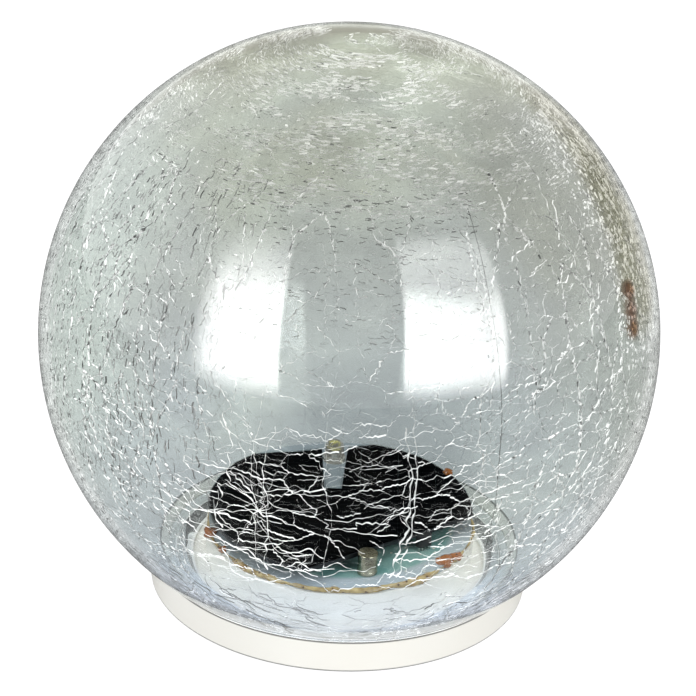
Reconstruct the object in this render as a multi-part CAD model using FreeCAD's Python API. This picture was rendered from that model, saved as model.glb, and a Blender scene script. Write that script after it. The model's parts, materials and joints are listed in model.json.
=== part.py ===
import FreeCAD, Part
import math
import os

# Garden globe light: a crackled glass globe bonded into a low white base. The base
# holds a driver board, a raised round solar panel, one light on legs, a slide switch
# and one small rechargeable cell behind a screwed door. Millimetres, +Z up. The origin
# is the middle of the resting plane under the feet, and -Y is the side that faces front.

os.makedirs("parts", exist_ok=True)
Vector = FreeCAD.Vector
UP = Vector(0, 0, 1)
ALONG = Vector(1, 0, 0)
same_length = 1e-6          # two lengths this close count as one

# ---------------------------------------------------------------- driving sizes
# Globe
globe_radius = 75.0
glass_wall = 2.4

# Base, from the table up
foot_stand = 0.6            # ring edge above the table
cover_recess = 0.4          # cover face above the ring edge
cover_thickness = 1.6
seat_floor = 1.8            # floor of the channel that carries the glass
gasket_thickness = 0.8
ring_wall = 2.3
ring_draft = 0.3            # the ring is this much wider at its foot
ring_edge_round = 0.4
seat_margin = 2.6           # from the glass at its cut to the ring wall
lip_seam = 0.12             # between the ring's lip and the glass
drum_wall = 1.8
mouth_gap = 3.6             # between the drum and the mouth of the glass
sealant_height = 2.0
close_gap = 0.1             # between fixed pieces that sit in one another

# Cell, its bay and its contacts
cell_length = 44.5
cell_diameter = 10.3
cell_sleeve = 0.15
cell_button_radius = 1.9
cell_button_height = 1.0
cell_edge_round = 0.5       # also the bare metal left at each end of the sleeve
button_round = 0.3
insulator_inset = 1.2       # ring inside the cell's side
insulator_bore_gap = 0.4    # ring to the button
insulator_thickness = 0.2
cell_clearance = 0.35       # cell to the sides of the bay
cell_lift = 0.2             # cell to the door below and to the ceiling above
bay_wall = 1.0
bay_ceiling = 0.8
bay_flange = 1.0            # thickness of the seat that the door closes on
flange_lap = 0.7            # seat beyond the door's opening
contact_plate = 0.4
contact_nub = 0.6
contact_gap = 0.3           # between each contact and the cell
contact_width = 7.0
spring_length = 3.9
spring_wire = 0.5
spring_turns = 3
spring_foot_radius = 3.4
spring_tip_radius = 2.2
spring_sink = 0.15          # the first turn is welded this deep into its plate
tab_width = 2.4
tab_reach = 1.4             # how far a solder tab stands out of the bay

# Battery door and its screw
seal_width = 2.2
seal_thickness = 0.4
door_thickness = 1.2
door_gap = 0.25
door_corner = 1.6
door_boss_radius = 2.2
door_boss_height = 6.0
door_boss_gap = 0.4         # from the seat round that screw to the drum
door_boss_floor = 1.2       # left in the boss above the screw's tip
door_groove_count = 3       # finger grooves at one end of the door
door_groove_depth = 0.4
seal_slack = 0.05           # between the seal and the seat above it
small_screw_radius = 0.9
small_head_radius = 1.6
small_head_height = 1.0
small_head_sink = 0.7
thread_gap = 0.06
cross_arm_share = 0.62      # cross slot of a screw, as shares of its head's radius
cross_wide_share = 0.28

# Cover screws and feet
cover_screw_count = 4
cover_screw_turn = 45.0
cover_screw_radius = 1.25
cover_head_radius = 2.2
cover_head_height = 1.0
cover_screw_length = 8.0
boss_radius = 3.0
boss_height = 9.0
boss_wall_gap = 0.6         # from a boss to the drum before its web joins them
boss_web = 3.0
cover_gap = 0.25
foot_count = 4
foot_radius = 4.0
foot_pocket = 0.6
foot_chamfer = 0.3

# Slide switch
switch_length = 8.6
switch_width = 4.4
switch_height = 3.8
switch_shell = 0.6
switch_setback = 3.2        # from the bay's wall to the switch
knob_length = 2.0
knob_width = 1.6
knob_proud = 0.5            # below the cover
knob_foot_length = 3.4
knob_foot_height = 0.9
switch_travel = 2.0
knob_gap = 0.3
knob_groove_width = 0.24
knob_groove_depth = 0.2

# Driver board and what is on it
board_gap = 0.2             # bay ceiling to the board
board_thickness = 1.6
board_inset = 0.7           # board edge inside the drum's outer face
bead_radius = 1.1
leg_radius = 0.25
leg_bend = 1.0
leg_tail = 0.8              # legs stand this far below the board
hole_gap = 0.12
solder_wall = 0.2           # solder round a leg, where it meets the board
solder_tip = 0.08           # and at its thin end
solder_gap = 0.03
solder_bare = 0.3           # end of each leg that stands out of its solder
capacitor_radius = 2.5
capacitor_height = 5.8
capacitor_edge_round = 0.4
capacitor_groove = 0.25     # radius of the groove round its foot
capacitor_groove_depth = 0.15
capacitor_groove_level = 0.2    # as a share of its height
capacitor_pitch = 2.0
capacitor_along = -9.7      # place along the panel's cut edge
chip_width = 4.0
chip_depth = 1.7
chip_height = 3.2
chip_stand = 1.2
chip_pitch = 1.0
chip_legs = 4
chip_along = 9.0
part_gap = 0.4              # from the panel's cut edge to a part beside it
inductor_radius = 1.45
inductor_length = 7.0
inductor_edge_round = 0.5
inductor_pitch = 10.0
inductor_inward = 7.0       # inside the cut edge, under the panel
wire_radius = 0.55
wire_bend = 0.9
wire_rise = 1.4             # straight run of a lead from its joint to its first bend
battery_lead_run = 8.0
panel_lead_run = 8.0
panel_lead_spacing = 3.0
panel_lead_across = -0.21    # first lead's place, as shares of the panel's radius
panel_lead_back = -0.51
terminal_width = 0.8
terminal_thickness = 0.3
terminal_height = 1.6
terminal_pitch = 2.5
switch_lead_run = 4.5

# Solar panel
panel_gap = 3.4             # board to panel
panel_thickness = 1.0
panel_inset = 0.6           # panel edge inside the drum's outer face
cell_film = 0.4
coat_thickness = 0.4
film_inset = 0.4
strip_count = 7
strip_spare = 1.2           # all strips together are this much wider than the field
strip_seam = 0.1
cut_depth = 11.4            # straight edge at the front right, in from the panel's rim
cut_turn = -53.3            # its direction in degrees
back_cut_depth = 4.2        # straight edge of the cells at the back left, in from their rim
back_cut_turn = 105.2
pad_side = 9.0
pad_shares = [(-0.60, -0.21), (-0.39, 0.51), (0.48, 0.39)]    # places as shares of the panel's radius

# Light
led_x = -2.2
led_y = 9.6
led_stand = 6.7             # above the panel
led_height = 5.2
led_radius = 2.4
led_flange_radius = 2.9
led_flange = 1.0
led_dome = 0.6              # rounding of its top, as a share of its radius
led_pitch = 2.54
led_leg = 0.5
lens_leg_gap = 0.03
led_spacer_radius = 1.95
led_spacer_wall = 0.35
phosphor_radius = 1.3
phosphor_height = 0.7
phosphor_depth = 1.1        # below the top of the lens
notch_front = 2.6           # from the light's axis to the front of the cells' notch
notch_gap = 0.35
notch_flare = 1.4           # how much wider the notch is at the panel's edge

# ---------------------------------------------------------------- worked out from them
cover_z = foot_stand + cover_recess
seat_under = cover_z + cover_thickness
seat_z = seat_under + seat_floor
glass_cut_z = seat_z + gasket_thickness

cell_radius = cell_diameter / 2
bay_half_width = cell_radius + cell_clearance
bay_length = 2 * contact_plate + spring_length + 2 * contact_gap + cell_length + contact_nub
bay_half_length = bay_length / 2
door_z = cover_z
door_top = door_z + door_thickness
cell_z = door_top + cell_lift + cell_radius
bay_top = cell_z + cell_radius + cell_lift
ceiling_top = bay_top + bay_ceiling
door_half_length = bay_half_length + seal_width + door_gap
door_half_width = bay_half_width + seal_width
door_screw_x = bay_half_length + bay_wall + door_boss_radius + door_gap
flange_under = door_top + seal_thickness

drum_inner = door_screw_x + door_boss_radius + door_gap + flange_lap + door_boss_gap
drum_radius = drum_inner + drum_wall
mouth_radius = drum_radius + mouth_gap
globe_inner = globe_radius - glass_wall
globe_z = glass_cut_z + math.sqrt(globe_inner ** 2 - mouth_radius ** 2)
neck_radius = math.sqrt(globe_radius ** 2 - (globe_z - glass_cut_z) ** 2)
ring_inner = neck_radius + seat_margin
lip_radius = ring_inner + ring_wall
foot_ring_radius = lip_radius + ring_draft
lip_z = globe_z - math.sqrt((globe_radius + lip_seam) ** 2 - lip_radius ** 2)
cover_radius = ring_inner - cover_gap
boss_circle = drum_inner - boss_wall_gap - boss_radius
foot_circle = (drum_radius + cover_radius) / 2
cell_back = -bay_half_length + contact_plate + spring_length + contact_gap
cell_front = cell_back + cell_length
can_length = cell_length - cell_button_height

board_z = ceiling_top + board_gap
board_top = board_z + board_thickness
board_radius = drum_radius - board_inset
panel_z = board_top + panel_gap
panel_top = panel_z + panel_thickness
panel_radius = drum_radius - panel_inset
film_radius = panel_radius - film_inset
strip_pitch = (2 * film_radius + strip_spare) / strip_count
cut_distance = panel_radius - cut_depth
back_cut_distance = film_radius - back_cut_depth
pad_places = [(panel_radius * across, panel_radius * back) for across, back in pad_shares]
film_top = panel_top + cell_film
coat_top = film_top + coat_thickness
led_z = coat_top + led_stand
led_top = led_z + led_height
phosphor_z = led_top - phosphor_depth - phosphor_height
led_leg_corner = led_leg / math.sqrt(2)
led_leg_places = [Vector(led_x + side * led_pitch / 2, led_y, 0) for side in (-1, 1)]

cut_normal = Vector(math.cos(math.radians(cut_turn)), math.sin(math.radians(cut_turn)), 0)
cut_run = Vector(-cut_normal.y, cut_normal.x, 0)
back_normal = Vector(math.cos(math.radians(back_cut_turn)), math.sin(math.radians(back_cut_turn)), 0)
capacitor_place = cut_normal * (cut_distance + part_gap + capacitor_radius) + cut_run * capacitor_along
chip_place = cut_normal * (cut_distance + part_gap + chip_depth / 2) + cut_run * chip_along
inductor_place = cut_normal * (cut_distance - inductor_inward)
inductor_axis_z = board_top + inductor_radius + leg_radius
switch_y = -(bay_half_width + bay_wall + switch_setback + switch_width / 2)
slot_half_length = (knob_length + switch_travel) / 2 + knob_gap
slot_half_width = knob_width / 2 + knob_gap


# ---------------------------------------------------------------- shape helpers
def cylinder(radius, height, x=0.0, y=0.0, z=0.0, axis=UP):
    return Part.makeCylinder(radius, height, Vector(x, y, z), axis)


def block(x_low, x_high, y_low, y_high, z_low, z_high):
    return Part.makeBox(x_high - x_low, y_high - y_low, z_high - z_low, Vector(x_low, y_low, z_low))


def turned(profile):
    """A closed outline of (radius, z) points turned once round the Z axis."""
    points = [Vector(radius, 0, z) for radius, z in profile]
    face = Part.Face(Part.makePolygon(points + points[:1]))
    return face.revolve(Vector(0, 0, 0), UP, 360)


def tube(radius, inner_radius, height, x=0.0, y=0.0, z=0.0, axis=UP):
    return cylinder(radius, height, x, y, z, axis).cut(cylinder(inner_radius, height, x, y, z, axis))


def rounded_plate(half_length, half_width, corner, z_low, height):
    """A flat plate with round corners, centred on the Z axis."""
    plate = block(-half_length, half_length, -half_width, half_width, z_low, z_low + height)
    upright = [edge for edge in plate.Edges if abs(edge.tangentAt(edge.FirstParameter).z) > 0.9]
    return plate.makeFillet(corner, upright)


def is_circle(edge, radius, level):
    curve = edge.Curve
    if not isinstance(curve, Part.Circle):
        return False
    return abs(curve.Radius - radius) < same_length and abs(curve.Center.z - level) < same_length


def round_circles(solid, radius, level, size):
    """Round every full circle of this radius at this level."""
    return solid.makeFillet(size, [edge for edge in solid.Edges if is_circle(edge, radius, level)])


def round_all_circles(solid, size):
    return solid.makeFillet(size, [edge for edge in solid.Edges if isinstance(edge.Curve, Part.Circle)])


def beyond(normal, distance, z_low, height):
    """Everything past a straight cut, as a block wide enough for the whole base."""
    reach = 2 * globe_radius
    piece = block(distance, distance + reach, -reach, reach, z_low, z_low + height)
    turn = math.degrees(math.atan2(normal.y, normal.x))
    piece.rotate(Vector(0, 0, 0), UP, turn)
    return piece


def around(radius, count, first_turn=0.0):
    """Places evenly spaced on a circle, as (x, y)."""
    turns = [math.radians(first_turn + 360.0 * index / count) for index in range(count)]
    return [(radius * math.cos(turn), radius * math.sin(turn)) for turn in turns]


def lead(points, radius, bend):
    """A wire of straight runs joined by tangent arcs, as one unbroken tube."""
    points = [Vector(*point) for point in points]
    edges = []
    start = points[0]
    for before, corner, after in zip(points, points[1:], points[2:]):
        back = (before - corner).normalize()
        onward = (after - corner).normalize()
        half_turn = (math.pi - back.getAngle(onward)) / 2
        trim = bend * math.tan(half_turn)
        arc_start = corner + back * trim
        arc_end = corner + onward * trim
        middle_line = (back + onward).normalize()
        arc_middle = corner + middle_line * (bend / math.cos(half_turn) - bend)
        edges.append(Part.LineSegment(start, arc_start).toShape())
        edges.append(Part.Arc(arc_start, arc_middle, arc_end).toShape())
        start = arc_end
    edges.append(Part.LineSegment(start, points[-1]).toShape())
    path = Part.Wire(edges)
    ring = Part.Wire(Part.makeCircle(radius, points[0], points[1] - points[0]))
    pipe = path.makePipeShell([ring], True, False)
    straight_volume = math.pi * radius ** 2 * path.Length
    print("lead", round(path.Length, 1), "mm, volume ratio", round(pipe.Volume / straight_volume, 4))
    return pipe


def save(name, shape):
    shape.exportStep(f"parts/{name}.step")
    print(f"{name}: {len(shape.Solids)} solid(s), {shape.Volume:.1f} mm3, valid {shape.isValid()}")


# ---------------------------------------------------------------- globe and base
def globe_glass():
    middle = Vector(0, 0, globe_z)
    shell = Part.makeSphere(globe_radius, middle).cut(Part.makeSphere(globe_inner, middle))
    return shell.cut(cylinder(globe_radius, glass_cut_z + globe_radius, 0, 0, -globe_radius))


def globe_gasket():
    return tube(neck_radius + close_gap, mouth_radius - close_gap, gasket_thickness, 0, 0, seat_z)


def globe_sealant():
    inner = neck_radius + 2 * close_gap
    wedge = tube(ring_inner, inner, sealant_height, 0, 0, seat_z)
    return wedge.cut(Part.makeSphere(globe_radius, Vector(0, 0, globe_z)))


def base_housing():
    ring = turned([(foot_ring_radius, foot_stand), (lip_radius, lip_z),
                   (ring_inner, lip_z), (ring_inner, foot_stand)])
    ring = round_circles(ring, foot_ring_radius, foot_stand, ring_edge_round)
    ring = ring.cut(Part.makeSphere(globe_radius + lip_seam, Vector(0, 0, globe_z)))
    seat = tube(ring_inner + ring_wall / 2, drum_inner, seat_floor, 0, 0, seat_under)
    drum = tube(drum_radius, drum_inner, board_z - seat_under, 0, 0, seat_under)
    body = ring.fuse([seat, drum])
    web_reach = drum_inner + drum_wall / 2
    for x, y in around(boss_circle, cover_screw_count, cover_screw_turn):
        turn = math.degrees(math.atan2(y, x))
        web = block(boss_circle, web_reach, -boss_web / 2, boss_web / 2, seat_under, seat_under + boss_height)
        web.rotate(Vector(0, 0, 0), UP, turn)
        body = body.fuse([cylinder(boss_radius, boss_height, x, y, seat_under), web])
        body = body.cut(cylinder(cover_screw_radius + thread_gap, cover_screw_length, x, y, seat_under))
    return body.removeSplitter()


def bottom_cover():
    disc = cylinder(cover_radius, cover_thickness, 0, 0, cover_z)
    opening = door_outline(door_gap, cover_z, cover_thickness)
    flange = door_outline(door_gap + flange_lap, flange_under, bay_flange)
    bay = block(-bay_half_length - bay_wall, bay_half_length + bay_wall,
                -bay_half_width - bay_wall, bay_half_width + bay_wall, flange_under, ceiling_top)
    boss = cylinder(door_boss_radius, door_boss_height, door_screw_x, 0, flange_under)
    body = disc.cut(opening).fuse([flange, bay, boss])
    room = block(-bay_half_length, bay_half_length, -bay_half_width, bay_half_width, cover_z, bay_top)
    screw_way = cylinder(small_screw_radius + thread_gap, door_boss_height,
                         door_screw_x, 0, flange_under - bay_flange)
    body = body.cut(room).cut(screw_way)
    for side in (-1, 1):
        body = body.cut(tab_strip(side, hole_gap))
    for x, y in around(boss_circle, cover_screw_count, cover_screw_turn):
        body = body.cut(cylinder(cover_screw_radius + thread_gap, cover_thickness, x, y, cover_z))
        body = body.cut(cylinder(cover_head_radius + close_gap, cover_head_height, x, y, cover_z))
    for x, y in around(foot_circle, foot_count):
        body = body.cut(cylinder(foot_radius + close_gap, foot_pocket, x, y, cover_z))
    return body.cut(knob_slot(cover_z, cover_thickness)).removeSplitter()


def knob_slot(z_low, height):
    """The room in which the switch's knob slides."""
    return block(-slot_half_length, slot_half_length, switch_y - slot_half_width, switch_y + slot_half_width,
                 z_low, z_low + height)


def cover_screw(x, y):
    head = cylinder(cover_head_radius, cover_head_height, x, y, cover_z)
    head = head.cut(cross_recess(x, y, cover_z, cover_head_radius, cover_head_height))
    shaft = cylinder(cover_screw_radius, cover_screw_length, x, y, cover_z + cover_head_height / 2)
    shaft = shaft.cut(cylinder(cover_screw_radius, cover_head_height / 2, x, y, cover_z))
    return head.fuse(shaft).removeSplitter()


def cross_recess(x, y, z, head_radius, head_height):
    """A cross slot sunk into the underside of a screw's head."""
    arm = head_radius * cross_arm_share
    half_width = head_radius * cross_wide_share / 2
    depth = head_height / 2
    one = block(x - arm, x + arm, y - half_width, y + half_width, z, z + depth)
    two = block(x - half_width, x + half_width, y - arm, y + arm, z, z + depth)
    return one.fuse(two)


def cover_screws():
    places = around(boss_circle, cover_screw_count, cover_screw_turn)
    return Part.makeCompound([cover_screw(x, y) for x, y in places])


def foot(x, y):
    pad = cylinder(foot_radius, cover_z + foot_pocket, x, y, 0)
    lower = [edge for edge in pad.Edges if edge.BoundBox.ZMax < same_length]
    return pad.makeChamfer(foot_chamfer, lower)


# ---------------------------------------------------------------- battery door
def door_outline(grow, z_low, height):
    """The door's plan, a round-cornered plate with an ear for its screw, grown all round."""
    plate = rounded_plate(door_half_length + grow, door_half_width + grow, door_corner + grow, z_low, height)
    ear = cylinder(door_boss_radius + grow, height, door_screw_x, 0, z_low)
    return plate.fuse(ear).removeSplitter()


def battery_door():
    door = door_outline(0, door_z, door_thickness)
    door = door.cut(cylinder(small_screw_radius + thread_gap, door_thickness, door_screw_x, 0, door_z))
    door = door.cut(cylinder(small_head_radius + close_gap, small_head_sink, door_screw_x, 0, door_z))
    for index in range(door_groove_count):
        x = -door_half_length + 2 * door_corner * (index + 1)
        door = door.cut(block(x, x + door_corner / 2, -door_half_width / 2, door_half_width / 2,
                              door_z, door_z + door_groove_depth))
    return door


def door_gasket():
    outer = rounded_plate(bay_half_length + seal_width, bay_half_width + seal_width - door_gap, door_corner,
                          door_top, seal_thickness - seal_slack)
    inner = block(-bay_half_length, bay_half_length, -bay_half_width, bay_half_width, door_top, flange_under)
    screw_way = cylinder(small_screw_radius + close_gap, seal_thickness, door_screw_x, 0, door_top)
    return outer.cut(inner).cut(screw_way)


def door_screw():
    head_z = door_z + small_head_sink - small_head_height
    head = cylinder(small_head_radius, small_head_height, door_screw_x, 0, head_z)
    head = head.cut(cross_recess(door_screw_x, 0, head_z, small_head_radius, small_head_height))
    shaft_top = flange_under + door_boss_height - door_boss_floor
    shaft = cylinder(small_screw_radius, shaft_top - head_z - small_head_height, door_screw_x, 0,
                     head_z + small_head_height)
    return head.fuse(shaft).removeSplitter()


# ---------------------------------------------------------------- cell and contacts
def battery_can():
    can = cylinder(cell_radius - cell_sleeve, can_length, cell_back, 0, cell_z, ALONG)
    return round_all_circles(can, cell_edge_round)


def battery_sleeve():
    length = can_length - 2 * cell_edge_round
    return tube(cell_radius, cell_radius - cell_sleeve, length, cell_back + cell_edge_round, 0, cell_z, ALONG)


def battery_insulator():
    return tube(cell_radius - insulator_inset, cell_button_radius + insulator_bore_gap, insulator_thickness,
                cell_back + can_length, 0, cell_z, ALONG)


def battery_cap():
    cap = cylinder(cell_button_radius, cell_button_height, cell_back + can_length, 0, cell_z, ALONG)
    tip = [edge for edge in cap.Edges if edge.BoundBox.XMin > cell_front - same_length]
    return cap.makeFillet(button_round, tip)


def tab_strip(side, grow):
    """The flat tab that carries a contact's solder joint out through the bay's end wall."""
    inside = bay_half_length - contact_plate / 2
    outside = bay_half_length + bay_wall + tab_reach
    low, high = (inside, outside) if side > 0 else (-outside, -inside)
    tab_z = cell_z + contact_width / 2 - contact_plate
    half = tab_width / 2 + grow
    return block(low, high, -half, half, tab_z - grow, tab_z + contact_plate + grow)


def contact_face(side):
    """The square plate that leans on the bay's end wall."""
    low = bay_half_length - contact_plate if side > 0 else -bay_half_length
    half = contact_width / 2
    return block(low, low + contact_plate, -half, half, cell_z - half, cell_z + half)


def plate_contact():
    nub_x = bay_half_length - contact_plate - contact_nub
    nub = cylinder(cell_button_radius, contact_nub, nub_x, 0, cell_z, ALONG)
    return contact_face(1).fuse([nub, tab_strip(1, 0)]).removeSplitter()


def least_gap(path, half_turns):
    """The least distance between points of a coil that are over half a turn apart."""
    points_per_half = 24
    points = path.discretize(Number=half_turns * points_per_half + 1)
    gaps = [points[low].distanceToPoint(points[high])
            for low in range(len(points)) for high in range(low + points_per_half, len(points))]
    return min(gaps)


def coil_point(turns):
    """Where the coil is after so many turns: it climbs along X while its radius shrinks."""
    share = turns / spring_turns
    start_x = -bay_half_length + contact_plate + spring_wire / 2 - spring_sink
    climb = spring_length - spring_wire + spring_sink
    radius = spring_foot_radius + (spring_tip_radius - spring_foot_radius) * share
    turn = 2 * math.pi * turns
    return Vector(start_x + climb * share, radius * math.cos(turn), cell_z + radius * math.sin(turn))


def spring_contact():
    """A plate and a tapering coil of round wire, in quarter turns that are each one arc."""
    arc = 0.25
    edges = []
    for index in range(round(spring_turns / arc)):
        start, middle, end = (coil_point((index + part) * arc) for part in (0, 0.5, 1))
        edges.append(Part.Arc(start, middle, end).toShape())
    path = Part.Wire(edges)
    tangent = edges[0].tangentAt(edges[0].FirstParameter)
    ring = Part.Wire(Part.makeCircle(spring_wire / 2, coil_point(0), tangent))
    coil = path.makePipeShell([ring], True, False)
    print("spring, least gap to itself", round(least_gap(path, 2 * spring_turns) - spring_wire, 2), "mm")
    return contact_face(-1).fuse([coil, tab_strip(-1, 0)])


def battery_lead(side):
    """From a contact's tab up, along the end of the bay and up into the board."""
    x = side * (bay_half_length + bay_wall + tab_reach - wire_radius)
    start_z = cell_z + contact_width / 2
    turn_z = start_z + wire_rise
    end_y = -battery_lead_run
    corners = [(x, 0, start_z), (x, 0, turn_z), (x, end_y, turn_z), (x, end_y, board_z)]
    return lead(corners, wire_radius, wire_bend)


# ---------------------------------------------------------------- slide switch
def switch_body():
    half_length = switch_length / 2
    half_width = switch_width / 2
    z_low = seat_under
    case = block(-half_length, half_length, switch_y - half_width, switch_y + half_width,
                 z_low, z_low + switch_height)
    room_length = half_length - switch_shell
    room_width = half_width - switch_shell
    room = block(-room_length, room_length, switch_y - room_width, switch_y + room_width,
                 z_low + switch_shell, z_low + switch_height - switch_shell)
    return case.cut(room).cut(knob_slot(z_low, switch_shell))


def switch_knob():
    x = -switch_travel / 2
    foot_z = seat_under + switch_shell + knob_gap
    half_length = knob_length / 2
    stem = block(x - half_length, x + half_length, switch_y - knob_width / 2, switch_y + knob_width / 2,
                 cover_z - knob_proud, foot_z)
    half_width = switch_width / 2 - switch_shell - knob_gap
    half_foot = knob_foot_length / 2
    base = block(x - half_foot, x + half_foot, switch_y - half_width, switch_y + half_width,
                 foot_z, foot_z + knob_foot_height)
    half_groove = knob_groove_width / 2
    tip_z = cover_z - knob_proud
    for index in (-1, 0, 1):
        groove_x = x + index * knob_length / 3
        stem = stem.cut(block(groove_x - half_groove, groove_x + half_groove, switch_y - knob_width,
                              switch_y + knob_width, tip_z, tip_z + knob_groove_depth))
    return stem.fuse(base).removeSplitter()


def switch_terminals():
    """Three flat pins on the back of the switch."""
    pins = []
    half = terminal_thickness / 2
    bottom = seat_under + switch_height
    for index in (-1, 0, 1):
        x = index * terminal_pitch
        pins.append(block(x - terminal_width / 2, x + terminal_width / 2, switch_y - half, switch_y + half,
                          bottom, bottom + terminal_height))
    return Part.makeCompound(pins)


def switch_lead(index):
    """From one pin of the switch up and forward to the underside of the board."""
    x = index * terminal_pitch
    start_z = seat_under + switch_height + terminal_height
    turn_z = (start_z + board_z) / 2
    end_x = x + index * switch_lead_run - switch_lead_run / 2
    end_y = switch_y - switch_lead_run
    corners = [(x, switch_y, start_z), (x, switch_y, turn_z), (end_x, end_y, turn_z), (end_x, end_y, board_z)]
    return lead(corners, wire_radius, wire_bend)


# ---------------------------------------------------------------- driver board
def leg_places():
    """Where each leg of each part goes through the board, with the height it starts from."""
    places = []
    for side in (-1, 1):
        places.append((capacitor_place + cut_run * (side * capacitor_pitch / 2), board_top))
        places.append((inductor_place + cut_run * (side * inductor_pitch / 2), inductor_axis_z))
    for index in range(chip_legs):
        offset = (index - (chip_legs - 1) / 2) * chip_pitch
        places.append((chip_place + cut_run * offset, board_top + chip_stand))
    return places


def driver_board():
    bores = [(place, leg_radius) for place, _ in leg_places()]
    bores += [(place, led_leg_corner) for place in led_leg_places]
    holes = [cylinder(radius + hole_gap, board_thickness, place.x, place.y, board_z)
             for place, radius in bores]
    return cylinder(board_radius, board_thickness, 0, 0, board_z).cut(Part.makeCompound(holes))


def board_sealant():
    ring = Part.makeTorus(drum_radius, bead_radius, Vector(0, 0, board_z + board_thickness / 2))
    reach = 4 * bead_radius
    ring = ring.cut(cylinder(board_radius, reach, 0, 0, board_z))
    return ring.cut(cylinder(drum_radius, reach, 0, 0, board_z - reach))


def smoothing_capacitor():
    x, y = capacitor_place.x, capacitor_place.y
    can = cylinder(capacitor_radius, capacitor_height, x, y, board_top)
    groove_z = board_top + capacitor_height * capacitor_groove_level
    ring_radius = capacitor_radius + capacitor_groove - capacitor_groove_depth
    ring = Part.makeTorus(ring_radius, capacitor_groove, Vector(x, y, groove_z))
    return round_all_circles(can, capacitor_edge_round).cut(ring)


def boost_inductor():
    start = inductor_place - cut_run * (inductor_length / 2)
    body = cylinder(inductor_radius, inductor_length, start.x, start.y, inductor_axis_z, cut_run)
    return round_all_circles(body, inductor_edge_round)


def driver_chip():
    chip = block(-chip_depth / 2, chip_depth / 2, -chip_width / 2, chip_width / 2,
                 board_top + chip_stand, board_top + chip_stand + chip_height)
    upright = [edge for edge in chip.Edges if edge.BoundBox.ZLength > chip_height / 2]
    front_edges = [edge for edge in upright if edge.BoundBox.XMin > 0]
    chip = chip.makeChamfer(chip_depth / 4, front_edges)
    chip.rotate(Vector(0, 0, 0), UP, cut_turn)
    chip.translate(chip_place)
    return chip


def component_legs():
    legs = []
    bottom = board_z - leg_tail
    for place, top in leg_places():
        if top == inductor_axis_z:
            inward = inductor_place - place
            end = place + inward.normalize() * (inductor_pitch - inductor_length) / 2
            corners = [(place.x, place.y, bottom), (place.x, place.y, top), (end.x, end.y, top)]
            legs.append(lead(corners, leg_radius, leg_bend))
        else:
            legs.append(cylinder(leg_radius, top - bottom, place.x, place.y, bottom))
    return Part.makeCompound(legs)


def solder_joints():
    """A small cone of solder round each leg and each lead end, under the board."""
    joints = []
    for place, _ in leg_places():
        joints.append(solder_cone(place.x, place.y, leg_radius))
    for place in led_leg_places:
        joints.append(solder_cone(place.x, place.y, led_leg_corner))
    return Part.makeCompound(joints)


def solder_cone(x, y, bore):
    height = leg_tail - solder_bare
    cone = Part.makeCone(bore + solder_tip, bore + solder_wall, height, Vector(x, y, board_z - height))
    return cone.cut(cylinder(bore + solder_gap, leg_tail, x, y, board_z - leg_tail))


# ---------------------------------------------------------------- solar panel
def panel_base():
    disc = cylinder(panel_radius, panel_thickness, 0, 0, panel_z)
    disc = disc.cut(beyond(cut_normal, cut_distance, panel_z, panel_thickness))
    return disc.cut(cylinder(led_spacer_radius + hole_gap, panel_thickness, led_x, led_y, panel_z))


def film_outline(z_low, height):
    """The dark field: a disc with two straight cuts and a notch for the light."""
    disc = cylinder(film_radius, height, 0, 0, z_low)
    disc = disc.cut(beyond(cut_normal, cut_distance - film_inset, z_low, height))
    disc = disc.cut(beyond(back_normal, back_cut_distance, z_low, height))
    front_half = led_spacer_radius + notch_gap
    back_half = front_half + notch_flare
    front_y = led_y - notch_front
    corners = [(led_x - front_half, front_y), (led_x + front_half, front_y),
               (led_x + back_half, drum_radius), (led_x - back_half, drum_radius)]
    points = [Vector(x, y, z_low) for x, y in corners]
    notch = Part.Face(Part.makePolygon(points + points[:1])).extrude(Vector(0, 0, height))
    return disc.cut(notch)


def solar_cell(index):
    """One upright strip of the dark field. Strips are numbered from the left."""
    middle = (index - (strip_count - 1) / 2) * strip_pitch
    reach = strip_pitch / 2 - strip_seam / 2
    strip = block(middle - reach, middle + reach, -drum_radius, drum_radius, panel_top, film_top)
    return strip.common(film_outline(panel_top, cell_film))


def panel_coating():
    return film_outline(film_top, coat_thickness)


def panel_lead(index):
    """From the panel's underside across the gap and down into the board."""
    x = panel_radius * panel_lead_across
    y = panel_radius * panel_lead_back - index * panel_lead_spacing
    end_x = x - panel_lead_run
    middle_z = (board_top + panel_z) / 2
    return lead([(x, y, panel_z), (x, y, middle_z), (end_x, y, middle_z), (end_x, y, board_top)],
                wire_radius, wire_bend)


def foam_pad(x, y):
    half = pad_side / 2
    return block(x - half, x + half, y - half, y + half, board_top, panel_z)


# ---------------------------------------------------------------- light
def led_lens():
    body = cylinder(led_radius, led_height, led_x, led_y, led_z)
    top = [edge for edge in body.Edges if edge.BoundBox.ZMin > led_top - same_length]
    body = body.makeFillet(led_radius * led_dome, top)
    flange = cylinder(led_flange_radius, led_flange, led_x, led_y, led_z)
    hollow = cylinder(phosphor_radius, phosphor_height, led_x, led_y, phosphor_z)
    return body.fuse(flange).cut(hollow).cut(led_leg_pair(lens_leg_gap)).removeSplitter()


def led_leg_pair(grow):
    bottom = board_z - leg_tail
    half = led_leg / 2 + grow
    legs = [block(place.x - half, place.x + half, place.y - half, place.y + half, bottom, phosphor_z)
            for place in led_leg_places]
    return Part.makeCompound(legs)


def led_phosphor():
    return cylinder(phosphor_radius, phosphor_height, led_x, led_y, phosphor_z)


def led_spacer():
    bore = led_spacer_radius - led_spacer_wall
    return tube(led_spacer_radius, bore, led_z - board_top, led_x, led_y, board_top)


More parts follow.
